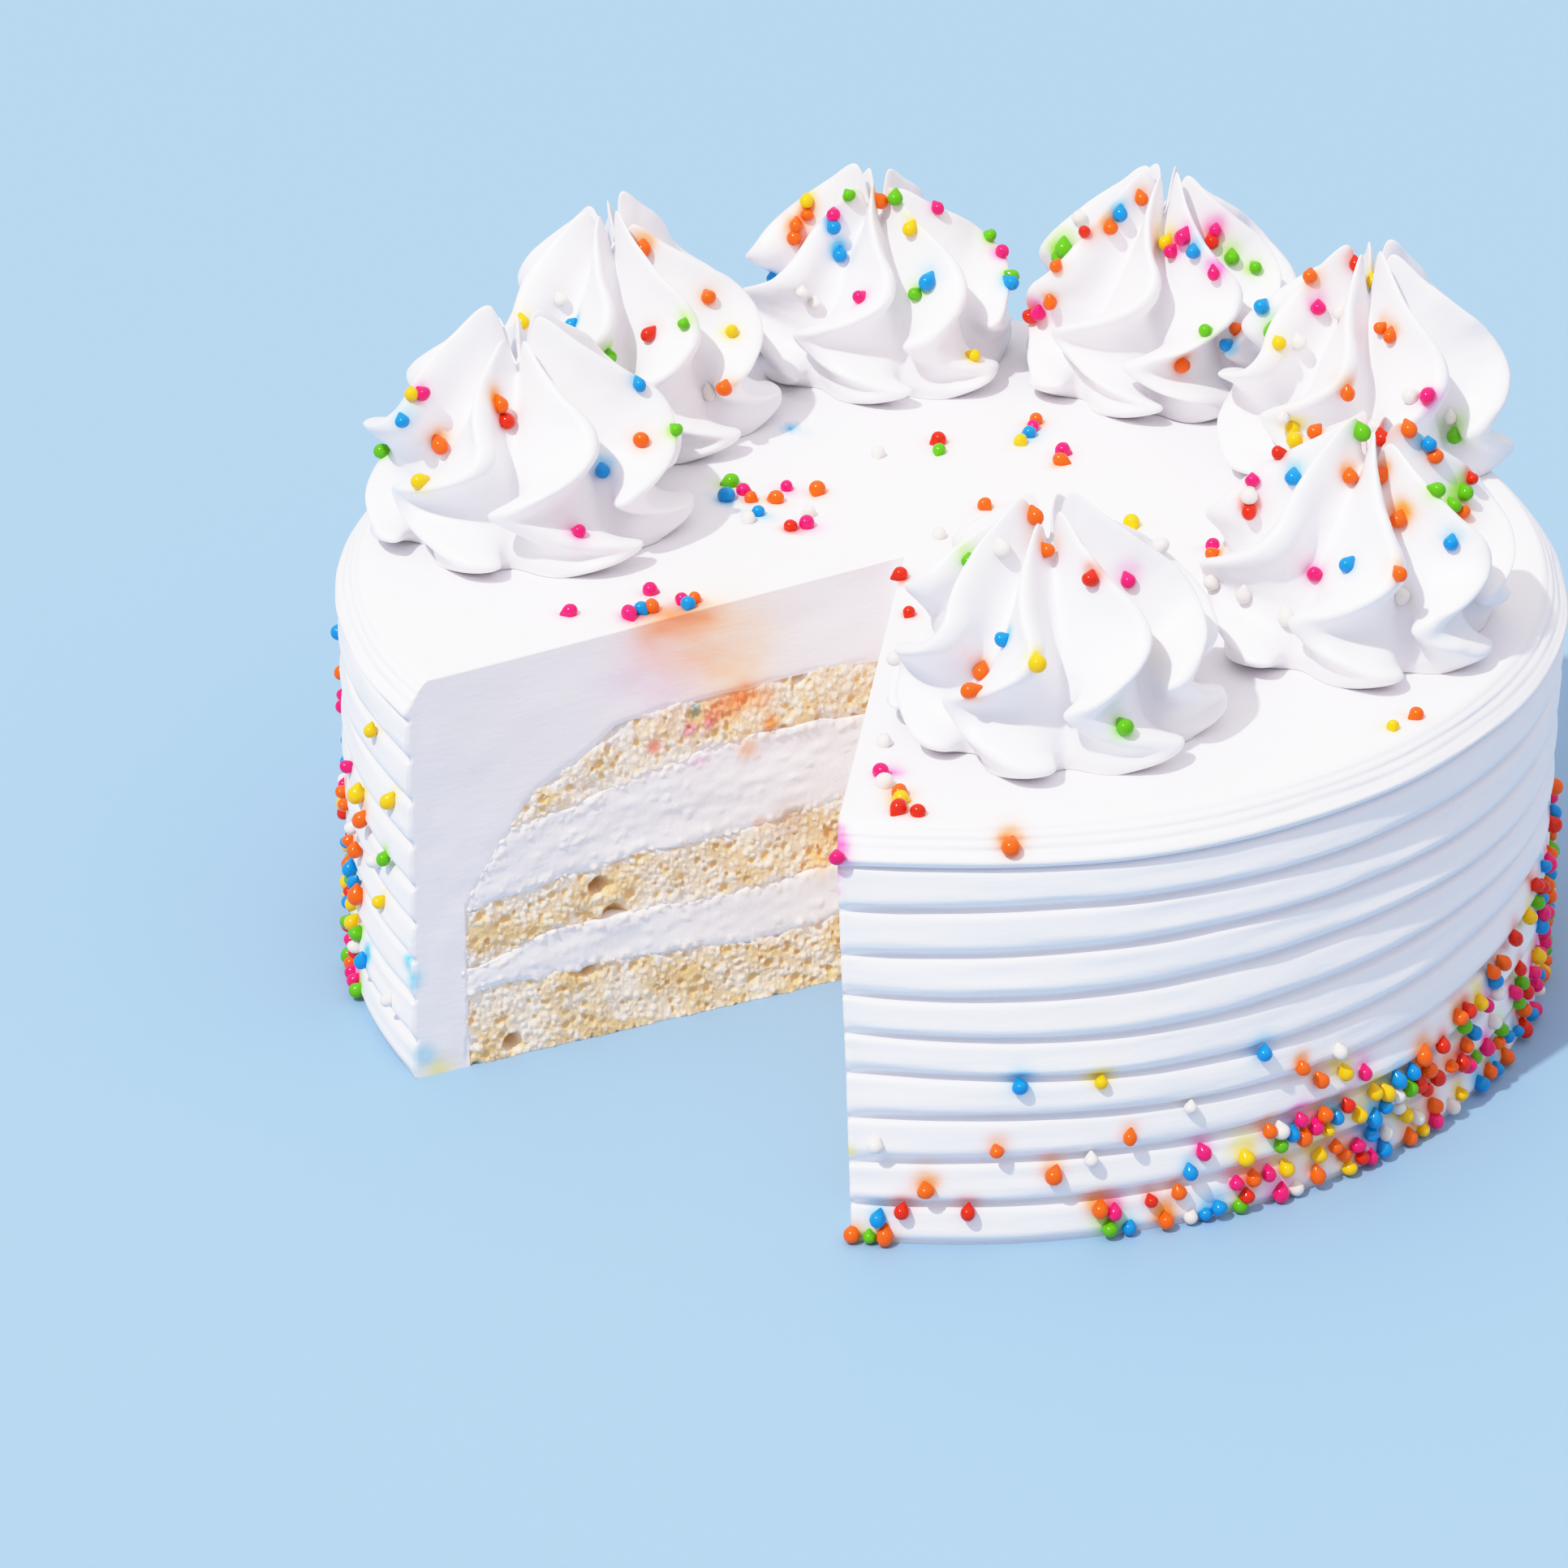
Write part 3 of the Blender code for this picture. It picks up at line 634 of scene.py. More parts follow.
def store_colour(mesh, colours):
    """Write a colour for each vertex into the attribute that the materials read."""
    layer = mesh.color_attributes.get("tint")
    if layer is None:
        layer = mesh.color_attributes.new("tint", "FLOAT_COLOR", "POINT")
    full = np.concatenate([colours, np.ones((len(colours), 1))], axis=1)
    layer.data.foreach_set("color", full.astype(np.float32).ravel())


def read_colour(mesh):
    """The colour of each vertex."""
    full = np.empty(len(mesh.vertices) * 4, dtype=np.float32)
    mesh.color_attributes["tint"].data.foreach_get("color", full)
    return full.reshape(-1, 4)[:, :3].astype(float)


def vertex_array(mesh):
    """The mesh's vertices as an array."""
    flat = np.empty(len(mesh.vertices) * 3)
    mesh.vertices.foreach_get("co", flat)
    return flat.reshape(-1, 3)


def comb_waver(angle, height):
    """How far the comb drifted up or down at this place on the side."""
    fade = np.sin(np.pi * np.minimum(1.0, height / LIP_HEIGHT))
    drift = np.sin(WAVER_COUNT * angle + WAVER_TWIST * height / LIP_HEIGHT)
    return RIDGE_WAVER * fade * drift


def side_profile():
    """Outline of the icing's side from its foot up to the edge of the plateau."""
    depth = CREST_RADIUS - GROOVE_RADIUS
    heights, radii = [], []
    for ridge in range(RIDGE_COUNT):
        groove = FIRST_GROOVE_HEIGHT - ridge * RIDGE_PITCH
        level = groove - RIDGE_SHAPE[:, 0] * RIDGE_PITCH
        swell = RIDGE_SHAPE[:, 1]
        radius = GROOVE_RADIUS + depth * swell - RIDGE_DEEPENING * (1.0 - swell)
        keep = level > FOOT_HEIGHT
        heights.extend(level[keep])
        radii.extend(radius[keep])
    heights.append(0.0)
    radii.append(FOOT_RADIUS)
    heights, radii = np.array(heights[::-1]), np.array(radii[::-1])
    rows = np.linspace(0.0, 1.0, LIP_WALL_ROWS + 1)[1:]
    lip_wall = FIRST_GROOVE_HEIGHT + (LIP_HEIGHT - FIRST_GROOVE_HEIGHT) * rows
    lip_radius = GROOVE_RADIUS + (LIP_RADIUS - GROOVE_RADIUS) * np.sin(0.5 * math.pi * rows)
    share = 1.0 - np.linspace(1.0, 0.0, LIP_SAMPLES + 1)[1:] ** LIP_CROWDING
    dips = sum(deep * np.exp(-((share - place) / LIP_LINE_WIDTH) ** 2) for place, deep in LIP_LINES)
    edge_radius = np.interp(share, *LIP_SHAPE.T) - dips
    edge_height = LIP_HEIGHT + (CAKE_HEIGHT - LIP_HEIGHT) * share
    return (np.concatenate([radii, lip_radius, edge_radius]),
            np.concatenate([heights, lip_wall, edge_height]))


def slice_tip(height):
    """The tip of the missing slice at each height."""
    share = np.asarray(height)[..., None] / CAKE_HEIGHT
    return SLICE_TIP_BASE + (SLICE_TIP_TOP - SLICE_TIP_BASE) * share


def cut_at_radius(side, radius, height):
    """Where a cut meets a radius from the cake's axis, at each height."""
    share = np.asarray(height)[..., None] / CAKE_HEIGHT
    top, base = CUT_ENDS[side]
    tip = slice_tip(height)
    run = base + (top - base) * share - tip
    a = np.sum(run * run, axis=-1)
    b = np.sum(run * tip, axis=-1)
    c = np.sum(tip * tip, axis=-1) - np.asarray(radius) ** 2
    reach = (-b + np.sqrt(np.maximum(b * b - a * c, 0.0))) / a
    return tip + run * reach[..., None]


def join_height(join, side, radius):
    """The height of a join along a cut, with the raggedness of a cut cake."""
    radii, heights = zip(*join)
    salt = JOIN_SALTS[side]
    line = np.stack([radius, np.full_like(radius, heights[0]), np.zeros_like(radius)], axis=-1)
    fade = smooth(radius / JOIN_TIP_FADE - JOIN_TIP_CALM)
    fade = fade * smooth((radii[-1] - radius) / JOIN_END_FADE)
    return np.interp(radius, radii, heights) + layered_noise(line, JOIN_RAGGEDNESS, salt) * fade


def with_height(flat, height):
    """Add a height to plan positions."""
    return np.concatenate([flat, np.asarray(height)[..., None]], axis=-1)


def blend_ends(right, left, turn):
    """Values that pass from the right cut round to the left cut."""
    return right[:, None] + (left - right)[:, None] * turn


def hidden_sheet(right, left):
    """Points that run round the back from the right cut's edge to the left cut's edge."""
    turn = np.linspace(0.0, 1.0, HIDDEN_COLUMNS)
    first = np.arctan2(right[:, 1], right[:, 0])
    last = np.arctan2(left[:, 1], left[:, 0]) % math.tau
    angles = blend_ends(first, last, turn)
    radii = blend_ends(np.hypot(right[:, 0], right[:, 1]), np.hypot(left[:, 0], left[:, 1]), turn)
    levels = blend_ends(right[:, 2], left[:, 2], turn)
    sheet = np.stack([radii * np.cos(angles), radii * np.sin(angles), levels], axis=-1)
    sheet[:, 0] = right
    sheet[:, -1] = left
    return sheet


def side_turns():
    """Shares of the way round the side, closest together where the sprinkles' dye shows."""
    turns = [np.zeros(1)]
    for end, count in (SHOWN_COLUMNS, FAR_COLUMNS, LEFT_COLUMNS):
        turns.append(np.linspace(turns[-1][-1], end, count + 1)[1:])
    return np.concatenate(turns)


def combed_side(radii, heights):
    """The icing's outside from the foot to the plateau's edge, between the two cuts."""
    below_lip = np.clip((LIP_HEIGHT - heights) / EDGE_FILL_FADE, 0.0, 1.0)
    filling = EDGE_FILL * below_lip * np.maximum(CREST_RADIUS - ICING_INSET - radii, 0.0)
    start = cut_at_radius("right", radii + filling, heights)
    end = cut_at_radius("left", radii + filling, heights)
    first = np.arctan2(start[:, 1], start[:, 0])
    last = np.arctan2(end[:, 1], end[:, 0]) % math.tau
    turns = side_turns()
    angles = blend_ends(first, last, turns)
    near = np.exp(-np.minimum(turns, 1.0 - turns) * SIDE_LENGTH / EDGE_REACH)
    level = heights[:, None] + comb_waver(angles, heights[:, None])
    spots = np.stack([np.cos(angles), np.sin(angles), np.zeros_like(angles)], axis=-1)
    ring = spots * (radii[:, None] + filling[:, None] * near)[..., None]
    ring[..., 2] = level
    lines = np.stack([angles * DRAG_RADIUS, level * DRAG_FLATNESS, np.zeros_like(angles)], axis=-1)
    uneven = layered_noise(lines, COMB_DRAG) + layered_noise(ring, SIDE_LUMPS)
    fade = smooth(level / EVEN_FOOT) * smooth((CAKE_HEIGHT - level) / EVEN_TOP)
    ring += spots * (uneven * fade - ICING_INSET)[..., None]
    ring[0, :, 2] = 0.0
    return ring


def edge_drop(inside, border):
    """How far a cut face sinks towards its border, where it runs under its neighbour."""
    width, depth = border
    return -depth * (1.0 - smooth(inside / width))


def icing_cut(face, side):
    """The icing's cut face, slightly uneven and sinking where it meets the layers."""
    drag = layered_noise(face * CUT_STRETCH, CUT_DRAG) + layered_noise(face, CUT_LUMPS)
    inside = np.linalg.norm(face - face[:, -1:], axis=-1) + layered_noise(face, BORDER_WANDER)
    edge = smooth(np.linalg.norm(face - face[:, :1], axis=-1) / CUT_EDGE_FADE)
    down = np.arange(face.shape[0])[:, None]
    ends = smooth(down / CUT_FOOT_ROWS) * smooth((face.shape[0] - 1 - down) / CUT_TIP_ROWS)
    relief = (drag * edge + edge_drop(inside, CREAM_BORDER)) * ends
    return face + CUT_NORMALS[side] * relief[..., None]


def cut_grid(side, outer, inner, side_rows):
    """Points over the icing's cut face: level to behind the grooves, then to its inner edge."""
    level = outer[:side_rows, 2]
    plan = np.hypot(outer[:side_rows, 0], outer[:side_rows, 1])
    behind = outer + (inner - outer) * BEHIND_SHARE
    behind[:side_rows] = with_height(
        cut_at_radius(side, np.minimum(plan - ICING_INSET, BEHIND_GROOVES), level), level)
    edge = np.linspace(0.0, 1.0, EDGE_COLUMNS + 1)[:-1]
    across = 1.0 - np.linspace(1.0, 0.0, CUT_COLUMNS) ** CUT_CROWDING
    return np.concatenate([
        outer[:, None] + (behind - outer)[:, None] * edge[None, :, None],
        behind[:, None] + (inner - behind)[:, None] * across[None, :, None],
    ], axis=1)


def make_icing_mesh():
    """The icing: combed side, rounded lip, flat top, two cut faces and the hollow inside."""
    radii, heights = side_profile()
    ring = combed_side(radii, heights)
    tip = np.array((*SLICE_TIP_TOP, CAKE_HEIGHT))
    reach = np.linspace(1.0, 0.0, TOP_SAMPLES + 1)[1:]
    top = tip + (ring[-1][None] - tip) * reach[:, None, None]
    fade = np.sin(math.pi * reach)[:, None]
    top[..., 2] += (layered_noise(top, PLATEAU_LUMPS) - PLATEAU_SINK) * fade
    outer = np.concatenate([ring, top])
    shell = Shell()
    shell.grid(outer)
    faces = {}
    for side, column in (("right", 0), ("left", -1)):
        inner = hollow_edge(side, len(radii), TOP_SAMPLES)
        face = cut_grid(side, outer[:, column], inner, len(radii))
        faces[side] = icing_cut(face, side)
        # The cut faces get the painted warm bounce light in their colour.
        shell.grid(faces[side], np.broadcast_to(CUT_FACE_PAINTED_BOUNCE, face.shape), flip=side == "left")
    hollow = hidden_sheet(faces["right"][:, -1], faces["left"][:, -1])
    shell.grid(hollow, flip=True)
    shell.polygon(np.concatenate([outer[0], hollow[0][::-1]]))
    return shell.mesh("icing_coat")


def hollow_edge(side, side_rows, top_rows):
    """Inner edge of the icing on a cut face: up beside the layers, then in over them."""
    corner_radius, corner_height = UPPER_CREAM_TOP[-1]
    wall = np.linspace(0.0, corner_height, side_rows)
    knee = MIDDLE_SPONGE_TOP[-1][1]
    radius = np.interp(wall, (0.0, knee, corner_height), (LAYER_RADIUS, LAYER_RADIUS, corner_radius))
    lower = with_height(cut_at_radius(side, radius - CREAM_OVERLAP, wall), wall)
    tip_radius = np.hypot(*SLICE_TIP_TOP) + TIP_ROOM
    over = np.linspace(corner_radius - CREAM_OVERLAP, tip_radius, top_rows + 1)[1:]
    height = join_height(TOP_SPONGE_TOP, side, over) - CREAM_OVERLAP
    upper = with_height(cut_at_radius(side, over, height), height)
    tip_height = join_height(TOP_SPONGE_TOP, "left", np.array([tip_radius]))[0] - CREAM_OVERLAP
    upper[-1] = (*slice_tip(tip_height), tip_height)
    return np.concatenate([lower, upper])


def layer_face(side, lower, upper, columns, rows, overlap):
    """A layer's cut face from the slice's tip out, lapping over its neighbours, and how far
    each place is from the face's border.
    """
    tip_radius = np.hypot(*SLICE_TIP_BASE)
    share = np.linspace(0.0, 1.0, columns)
    radius = tip_radius + (upper[-1][0] + overlap - tip_radius) * share
    low_radius = tip_radius + (lower[-1][0] + overlap - tip_radius) * share
    low = join_height(lower, side, low_radius) - overlap
    high = join_height(upper, side, radius) + overlap
    low[0] = join_height(lower, "left", radius[:1])[0] - overlap
    high[0] = join_height(upper, "left", radius[:1])[0] + overlap
    if lower[-1][1] == 0.0:
        low = np.zeros_like(low)
    high = np.maximum(high, low + overlap)
    up = np.linspace(0.0, 1.0, rows)[:, None]
    level = low + (high - low) * up
    across = low_radius + (radius - low_radius) * up
    tip = slice_tip(level)
    ends = cut_at_radius(side, np.broadcast_to(across[:, -1:], across.shape), level)
    face = with_height(tip + (ends - tip) * share[None, :, None], level)
    under = level - low if lower[-1][1] > 0.0 else np.full_like(level, CAKE_HEIGHT)
    inside = np.minimum(np.minimum(under, high - level), across[:, -1:] - across)
    return face, inside


def make_layer_mesh(name, lower, upper, spacing, overlap, surface):
    """A layer with fine cut faces, and plain faces where other pieces hide it."""
    columns = int(LAYER_RADIUS / spacing)
    rows = max(FEWEST_ROWS, int((upper[1][1] - lower[1][1]) / spacing))
    faces = {}
    shell = Shell()
    for side in ("right", "left"):
        face, inside = layer_face(side, lower, upper, columns, rows, overlap)
        relief, colours = surface(face, inside, side)
        fade = smooth(np.linspace(0.0, columns / CALM_COLUMNS, columns))[None, :]
        faces[side] = face + CUT_NORMALS[side] * (relief * fade)[..., None]
        shell.grid(faces[side], colours, flip=side == "left")
    wall = hidden_sheet(faces["right"][:, -1], faces["left"][:, -1])
    shell.grid(wall)
    for row in (0, -1):
        loop = np.concatenate([faces["right"][row], wall[row][1:-1], faces["left"][row][::-1][:-1]])
        shell.polygon(loop, flip=row == 0)
    return shell.mesh(name)


def mix(first, second, share):
    """Blend two colours."""
    return first + (second - first) * np.clip(share, 0.0, 1.0)[..., None]


def weighted(shares, parts, start=0.0):
    """The sum of the parts, each times its share."""
    return sum((share * part for share, part in zip(shares, parts)), start)


def crumb_surface(face, inside, side):
    """Relief and colour of the open crumb: pores of several sizes between pale crumbs."""
    salt = CRUMB_SALTS[side]
    size, reach = CRUMB_WANDER
    wander = np.stack([soft_noise(face, size, salt + axis) for axis in range(3)], axis=-1)
    spots = face + wander * reach
    holes, pores, crumbs, grains = (pits(spots, kind, salt) for kind in (HOLES, PORES, CRUMBS, GRAINS))
    region, lumps = (layered_noise(face, layers, salt) for layers in (REGIONS, LUMPS))
    near = inside + layered_noise(face, CRUMB_BORDER_WANDER, salt)
    edge = 1.0 - near / SMEAR_REACH + layered_noise(face, SMEAR_WANDER, salt)
    smear = SMEAR_SHARE * smooth(edge)
    smear = np.clip(smear * (1.0 - 2.0 * holes), 0.0, 1.0)
    relief = weighted(CRUMB_RISES, (crumbs, grains, lumps)) - CRUMB_SETBACK
    relief = relief - holes * HOLE_DEPTH - pores * (PORE_DEPTH + DENSER_DEPTH * region)
    relief = relief * (1.0 - SMEAR_EVENING * smear) + edge_drop(near, SPONGE_BORDER)
    # Painted shade: pores are made more golden and raised crumbs lighter by their relief, on top of
    # the crumb's own golden regions and lumps, and holes darken to brown by their depth.
    gold_and_shade = weighted(GOLD_AND_SHADE_SHARES, (crumbs, grains, pores, region, lumps), GOLD_BASE)
    brown = holes * HOLE_PAINTED_SHADE - BROWN_START + np.maximum(gold_and_shade - LAST_GOLD, 0.0) * PAST_GOLD_BROWN
    colours = mix(mix(CRUMB_LIGHT, CRUMB_GOLD, gold_and_shade), CRUMB_DEEP, brown)
    return relief, mix(colours, CREAM_COLOUR, smear * SMEAR_COVER)


def cream_surface(face, inside, side):
    """Relief and colour of the cream, torn by the knife and dotted with crumbs at its edges."""
    salt = CREAM_SALTS[side]
    along = face * CREAM_STRETCH
    smears = layered_noise(along, CREAM_SMEARS, salt)
    torn = np.clip(soft_noise(along, TORN_SIZE, salt + 2) - TORN_START, 0.0, 1.0) * TORN_HEIGHT
    near = smooth(1.0 - inside / STRAY_REACH) + STRAY_BASE
    crumbs = pits(face, STRAY_CRUMBS, salt) * near
    colours = mix(np.broadcast_to(CREAM_COLOUR, face.shape), CRUMB_LIGHT, crumbs * STRAY_COVER)
    border = inside + layered_noise(face, CREAM_BORDER_WANDER, salt)
    relief = smears + torn + crumbs * STRAY_HEIGHT + edge_drop(border, CREAM_BORDER)
    return relief, colours


def fin_traits(rosette):
    """The seeded unevenness of each fin: place, tip height, swing, size and lateness."""
    draw = random.Random(rosette.seed)
    traits = []
    for _ in range(rosette.fins):
        place = draw.uniform(-FIN_JITTER, FIN_JITTER)
        tip = draw.uniform(-TIP_JITTER, TIP_JITTER)
        swing = draw.uniform(*SWING_RANGE)
        size = draw.uniform(*SIZE_RANGE)
        late = draw.uniform(*LATE_RANGE)
        traits.append((place, tip, swing, size, late))
    return np.array(traits)


def keep_clear(rosette, spots):
    """Flatten a rosette softly where it meets a neighbour or would pass the rim."""
    centre = np.array((rosette.x, rosette.y))
    reach = np.linalg.norm(centre)
    limits = [(centre / reach, RIM_LIMIT - reach)]
    for other in ROSETTES:
        apart = np.array((other.x, other.y)) - centre
        length = np.linalg.norm(apart)
        if 0.0 < length < NEIGHBOUR_REACH:
            share = rosette.radius / (rosette.radius + other.radius)
            limits.append((apart / length, length * share - NEIGHBOUR_GAP))
    for direction, limit in limits:
        along = spots[..., :2] @ direction
        past = np.maximum(along - limit + CLAMP_SOFTNESS, 0.0)
        kept = CLAMP_SOFTNESS * (1.0 - np.exp(-past / CLAMP_SOFTNESS))
        spots[..., :2] -= (past - kept)[..., None] * direction
    return spots


def straight_sections(rows):
    """The sections at fractional rows, on straight lines between the named ones."""
    places = np.arange(len(SECTIONS))
    return np.stack([np.interp(rows, places, column) for column in SECTIONS.T], axis=-1)


def spline_sections(rows):
    """The sections at fractional rows, on a smooth curve through the named ones."""
    rows = np.clip(rows, 0.0, LAST_SECTION)
    index = np.clip(np.floor(rows).astype(int), 0, len(SECTIONS) - 2)
    share = (rows - index)[..., None]
    padded = np.concatenate([SECTIONS[:1], SECTIONS, SECTIONS[-1:]])
    before, first = padded[index], padded[index + 1]
    second, after = padded[index + 2], padded[index + 3]
    return 0.5 * (2.0 * first + (second - before) * share
                  + (2.0 * before - 5.0 * first + 4.0 * second - after) * share ** 2
                  + (3.0 * first - before - 3.0 * second + after) * share ** 3)


def rib_share(rows, across):
    """How far the surface stands out: 1 on a fin's crest and 0 in the crease beside it."""
    low = smooth((rows - LOBE_ROW) / LOBE_ROW)
    thinness = BLADE_THINNESS + (LOBE_THINNESS - BLADE_THINNESS) * low
    full = 2.0 + FOOT_FULLNESS * smooth((rows - 2.0 * LOBE_ROW) / LOBE_ROW)
    side = 2.0 * np.minimum(across, 1.0 - across)
    return (1.0 - side ** full) ** 2 / (1.0 + thinness * side * side)


def rosette_points(rosette, rows, fins, across, sections=spline_sections):
    """Points of a rosette's surface, with across from 0 at a crest to 1 at the next."""
    traits = fin_traits(rosette)
    here, following = traits[fins], traits[(fins + 1) % rosette.fins]
    place, tip, swing, size, late = np.moveaxis(here + (following - here) * across[..., None], -1, 0)
    crest_radius, crest_height, crease_radius, crease_height = np.moveaxis(sections(rows), -1, 0)[:4]
    crest = rib_share(rows, across)
    sideways = sections(rows + late)[..., 4] * swing * smooth(crest / LEAN_SHARE)
    sideways = sideways * np.minimum(1.0, (LAST_SECTION - rows) / SETTLED_ROWS)
    angle = math.tau / rosette.fins * (fins + across) + place + rosette.turn + sideways
    radius = crease_radius + (crest_radius - crease_radius) * crest
    level = crease_height + (crest_height - crease_height) * crest
    level = level * (1.0 + tip * level)
    radius = radius * rosette.radius * size
    spots = np.stack([radius * np.cos(angle), radius * np.sin(angle), level * rosette.height], -1)
    spots = keep_clear(rosette, spots)
    spots[..., 0] += rosette.lean * np.maximum(level, 0.0) ** LEAN_CURVE + rosette.x
    spots[..., 1] += rosette.y
    spots[..., 2] += CAKE_HEIGHT + FIT
    return spots


def make_rosette_mesh(name, rosette):
    """A piped rosette, closed at the hollow in its crown and at its foot."""
    columns = np.arange(rosette.fins * COLUMNS_PER_FIN)
    fins, step = np.divmod(columns, COLUMNS_PER_FIN)
    rows = np.linspace(0.0, LAST_SECTION, ROSETTE_ROWS)
    row_grid, fin_grid = np.meshgrid(rows, fins, indexing="ij")
    across = np.broadcast_to(step / COLUMNS_PER_FIN, row_grid.shape)
    body = rosette_points(rosette, row_grid, fin_grid, across)
    ruffle = layered_noise(body, PIPED_RUFFLE, rosette.seed)
    body[1:-1] += np.stack([ruffle, -ruffle, ruffle * 0.5], axis=-1)[1:-1]
    shell = Shell()
    shell.grid(body, wrap=True)
    ring = np.concatenate([body[0], body[0][:1]])
    hollow = (rosette.x + rosette.lean, rosette.y, CAKE_HEIGHT + CROWN_HOLLOW * rosette.height)
    shell.grid(np.stack([np.broadcast_to(hollow, ring.shape), ring]))
    shell.polygon(body[-1])
    return shell.mesh(name)


def make_piece(name, mesh):
    """Link a mesh to the scene under its name."""
    piece = bpy.data.objects.new(name, mesh)
    bpy.context.scene.collection.objects.link(piece)
    return piece


def camera_frame():
    """The camera's place and the directions across, up and ahead of it."""
    elevation = math.radians(CAMERA_ELEVATION)
    place = Vector((0.0, -math.cos(elevation), math.sin(elevation))) * CAMERA_DISTANCE
    ahead = -place.normalized()
    across = ahead.cross(Vector((0.0, 0.0, 1.0))).normalized()
    up = across.cross(ahead)
    yaw, pitch, roll = (math.radians(a) for a in (CAMERA_YAW, CAMERA_PITCH, CAMERA_ROLL))
    ahead, across = (ahead * math.cos(yaw) + across * math.sin(yaw),
                     across * math.cos(yaw) - ahead * math.sin(yaw))
    ahead, up = (ahead * math.cos(pitch) + up * math.sin(pitch),
                 up * math.cos(pitch) - ahead * math.sin(pitch))
    across, up = (across * math.cos(roll) + up * math.sin(roll),
                  up * math.cos(roll) - across * math.sin(roll))
    return place, across, up, ahead


def look_through(pixel, pieces):
    """What the photograph shows at a pixel: the place, the surface's normal and the piece. A
    pixel that misses the cake is pulled towards the photograph's middle.
    """
    place, across, up, ahead = camera_frame()
    focal = CAMERA_LENS / SENSOR_WIDTH * PHOTO_SIZE
    middle = PHOTO_SIZE / 2
    for pull in range(PULL_STEPS):
        x, y = (shown + (middle - shown) * PULL_SHARE * pull for shown in pixel)
        sight = (ahead + across * ((x - middle) / focal) - up * ((y - middle) / focal)).normalized()
        best = None
        for piece in pieces:
            hit, spot, normal, _ = piece.ray_cast(place, sight)
            if hit and (best is None or (spot - place).length < (best[0] - place).length):
                best = (spot.copy(), normal.copy(), piece)
        if best:
            return best
    return None


def draw_colour(draw):
    """A colour in the mix of the real sprinkles."""
    return draw.choices(list(COLOUR_WEIGHTS), weights=COLOUR_WEIGHTS.values())[0]


def clear_of(spot, taken, spacing):
    """Whether a place is far enough from the ones already taken."""
    return all((spot - other).length > spacing for other in taken)


def seat(pieces, spot):
    """The nearest place on the pieces and the surface's normal there."""
    best = None
    for piece in pieces:
        hit, near, normal, _ = piece.closest_point_on_mesh(spot)
        if hit and (best is None or (near - spot).length < (best[0] - spot).length):
            best = (near.copy(), normal.copy())
    return best


def solid_rosette_spots(rosette):
    """Places of the sprinkles that are part of a rosette's solid."""
    draw = random.Random(rosette.seed + ROSETTE_SEED_STEP)
    centre = Vector((rosette.x, rosette.y))
    others = [Vector((other.x, other.y)) for other in ROSETTES if other is not rosette]
    places = []
    while len(places) < ROSETTE_SPRINKLES:
        row = draw.uniform(*SPRINKLE_ROWS)
        fin = draw.randrange(rosette.fins)
        across = draw.choice(FLANKS) + draw.uniform(-FLANK_JITTER, FLANK_JITTER)
        rows = np.array((row, row - PROBE_ROW, row))
        sides = np.array((across, across, across + PROBE_ACROSS))
        spots = rosette_points(rosette, rows, np.full(3, fin), sides, straight_sections)
        spot, above, beside = (Vector(item) for item in spots)
        normal = (above - spot).cross(beside - spot).normalized()
        if normal.dot(spot - Vector((centre.x, centre.y, CAKE_HEIGHT))) < 0.0:
            normal.negate()
        flat = Vector((spot.x, spot.y))
        nearest = min((flat - other).length for other in others)
        if nearest > (flat - centre).length + NEIGHBOUR_ROOM * SOLID_RADIUS:
            if clear_of(spot, places, SOLID_SPACING):
                places.append(spot + normal * SOLID_RADIUS * SOLID_SINK)
    return places


def solid_side_spot(angle, height):
    """A place for a sprinkle against the combed side, where the solid has it."""
    heights, radii = [0.0], [BASE_RADIUS]
    for ridge in reversed(range(RIDGE_COUNT)):
        groove = FIRST_GROOVE_HEIGHT - ridge * RIDGE_PITCH
        if ridge < RIDGE_COUNT - 1:
            heights.append(groove - CREST_SHARE * RIDGE_PITCH)
            radii.append(CREST_RADIUS)
        heights.extend((groove - SHOULDER_SHARE * RIDGE_PITCH, groove))
        radii.extend((SHOULDER_RADIUS, GROOVE_RADIUS))
    level = height - comb_waver(angle, height)
    radius = np.interp(level, heights, radii) + SOLID_RADIUS * SOLID_SINK
    return Vector((radius * math.cos(angle), radius * math.sin(angle), height))


def solid_icing_spots():
    """Places of the sprinkles that are part of the icing's solid."""
    draw = random.Random(BAND_SEED)
    height = CAKE_HEIGHT + SOLID_RADIUS * SOLID_SINK
    places = [Vector((x, y, height)) for x, y in TOP_SPRINKLES]
    for count, start, end, rise, crowding in SIDE_BANDS:
        wanted = len(places) + count
        while len(places) < wanted:
            angle = draw.uniform(start, end)
            spot = solid_side_spot(angle, BAND_LOW + rise * draw.random() ** crowding)
            if clear_of(spot, places, SOLID_SPACING):
                places.append(spot)
    return places


def crowd_spots(draw):
    """Places in the crowded band round the foot and up the left side."""
    places = []
    while len(places) < CROWD_COUNT:
        angle = draw.uniform(CROWD_START, CROWD_END)
        share = min(1.0, (angle - CROWD_START) / CROWD_RISE)
        rise = CROWD_HEIGHTS[0] + (CROWD_HEIGHTS[1] - CROWD_HEIGHTS[0]) * share
        spot = solid_side_spot(angle, CROWD_FOOT + rise * draw.random() ** CROWD_LOWNESS)
        if clear_of(spot, places, CROWD_SPACING):
            places.append(spot)
    for _ in range(LEFT_COUNT):
        height = LEFT_FOOT + LEFT_HEIGHT * draw.random() ** LEFT_LOWNESS
        places.append(solid_side_spot(draw.uniform(LEFT_START, LEFT_END), height))
    return places


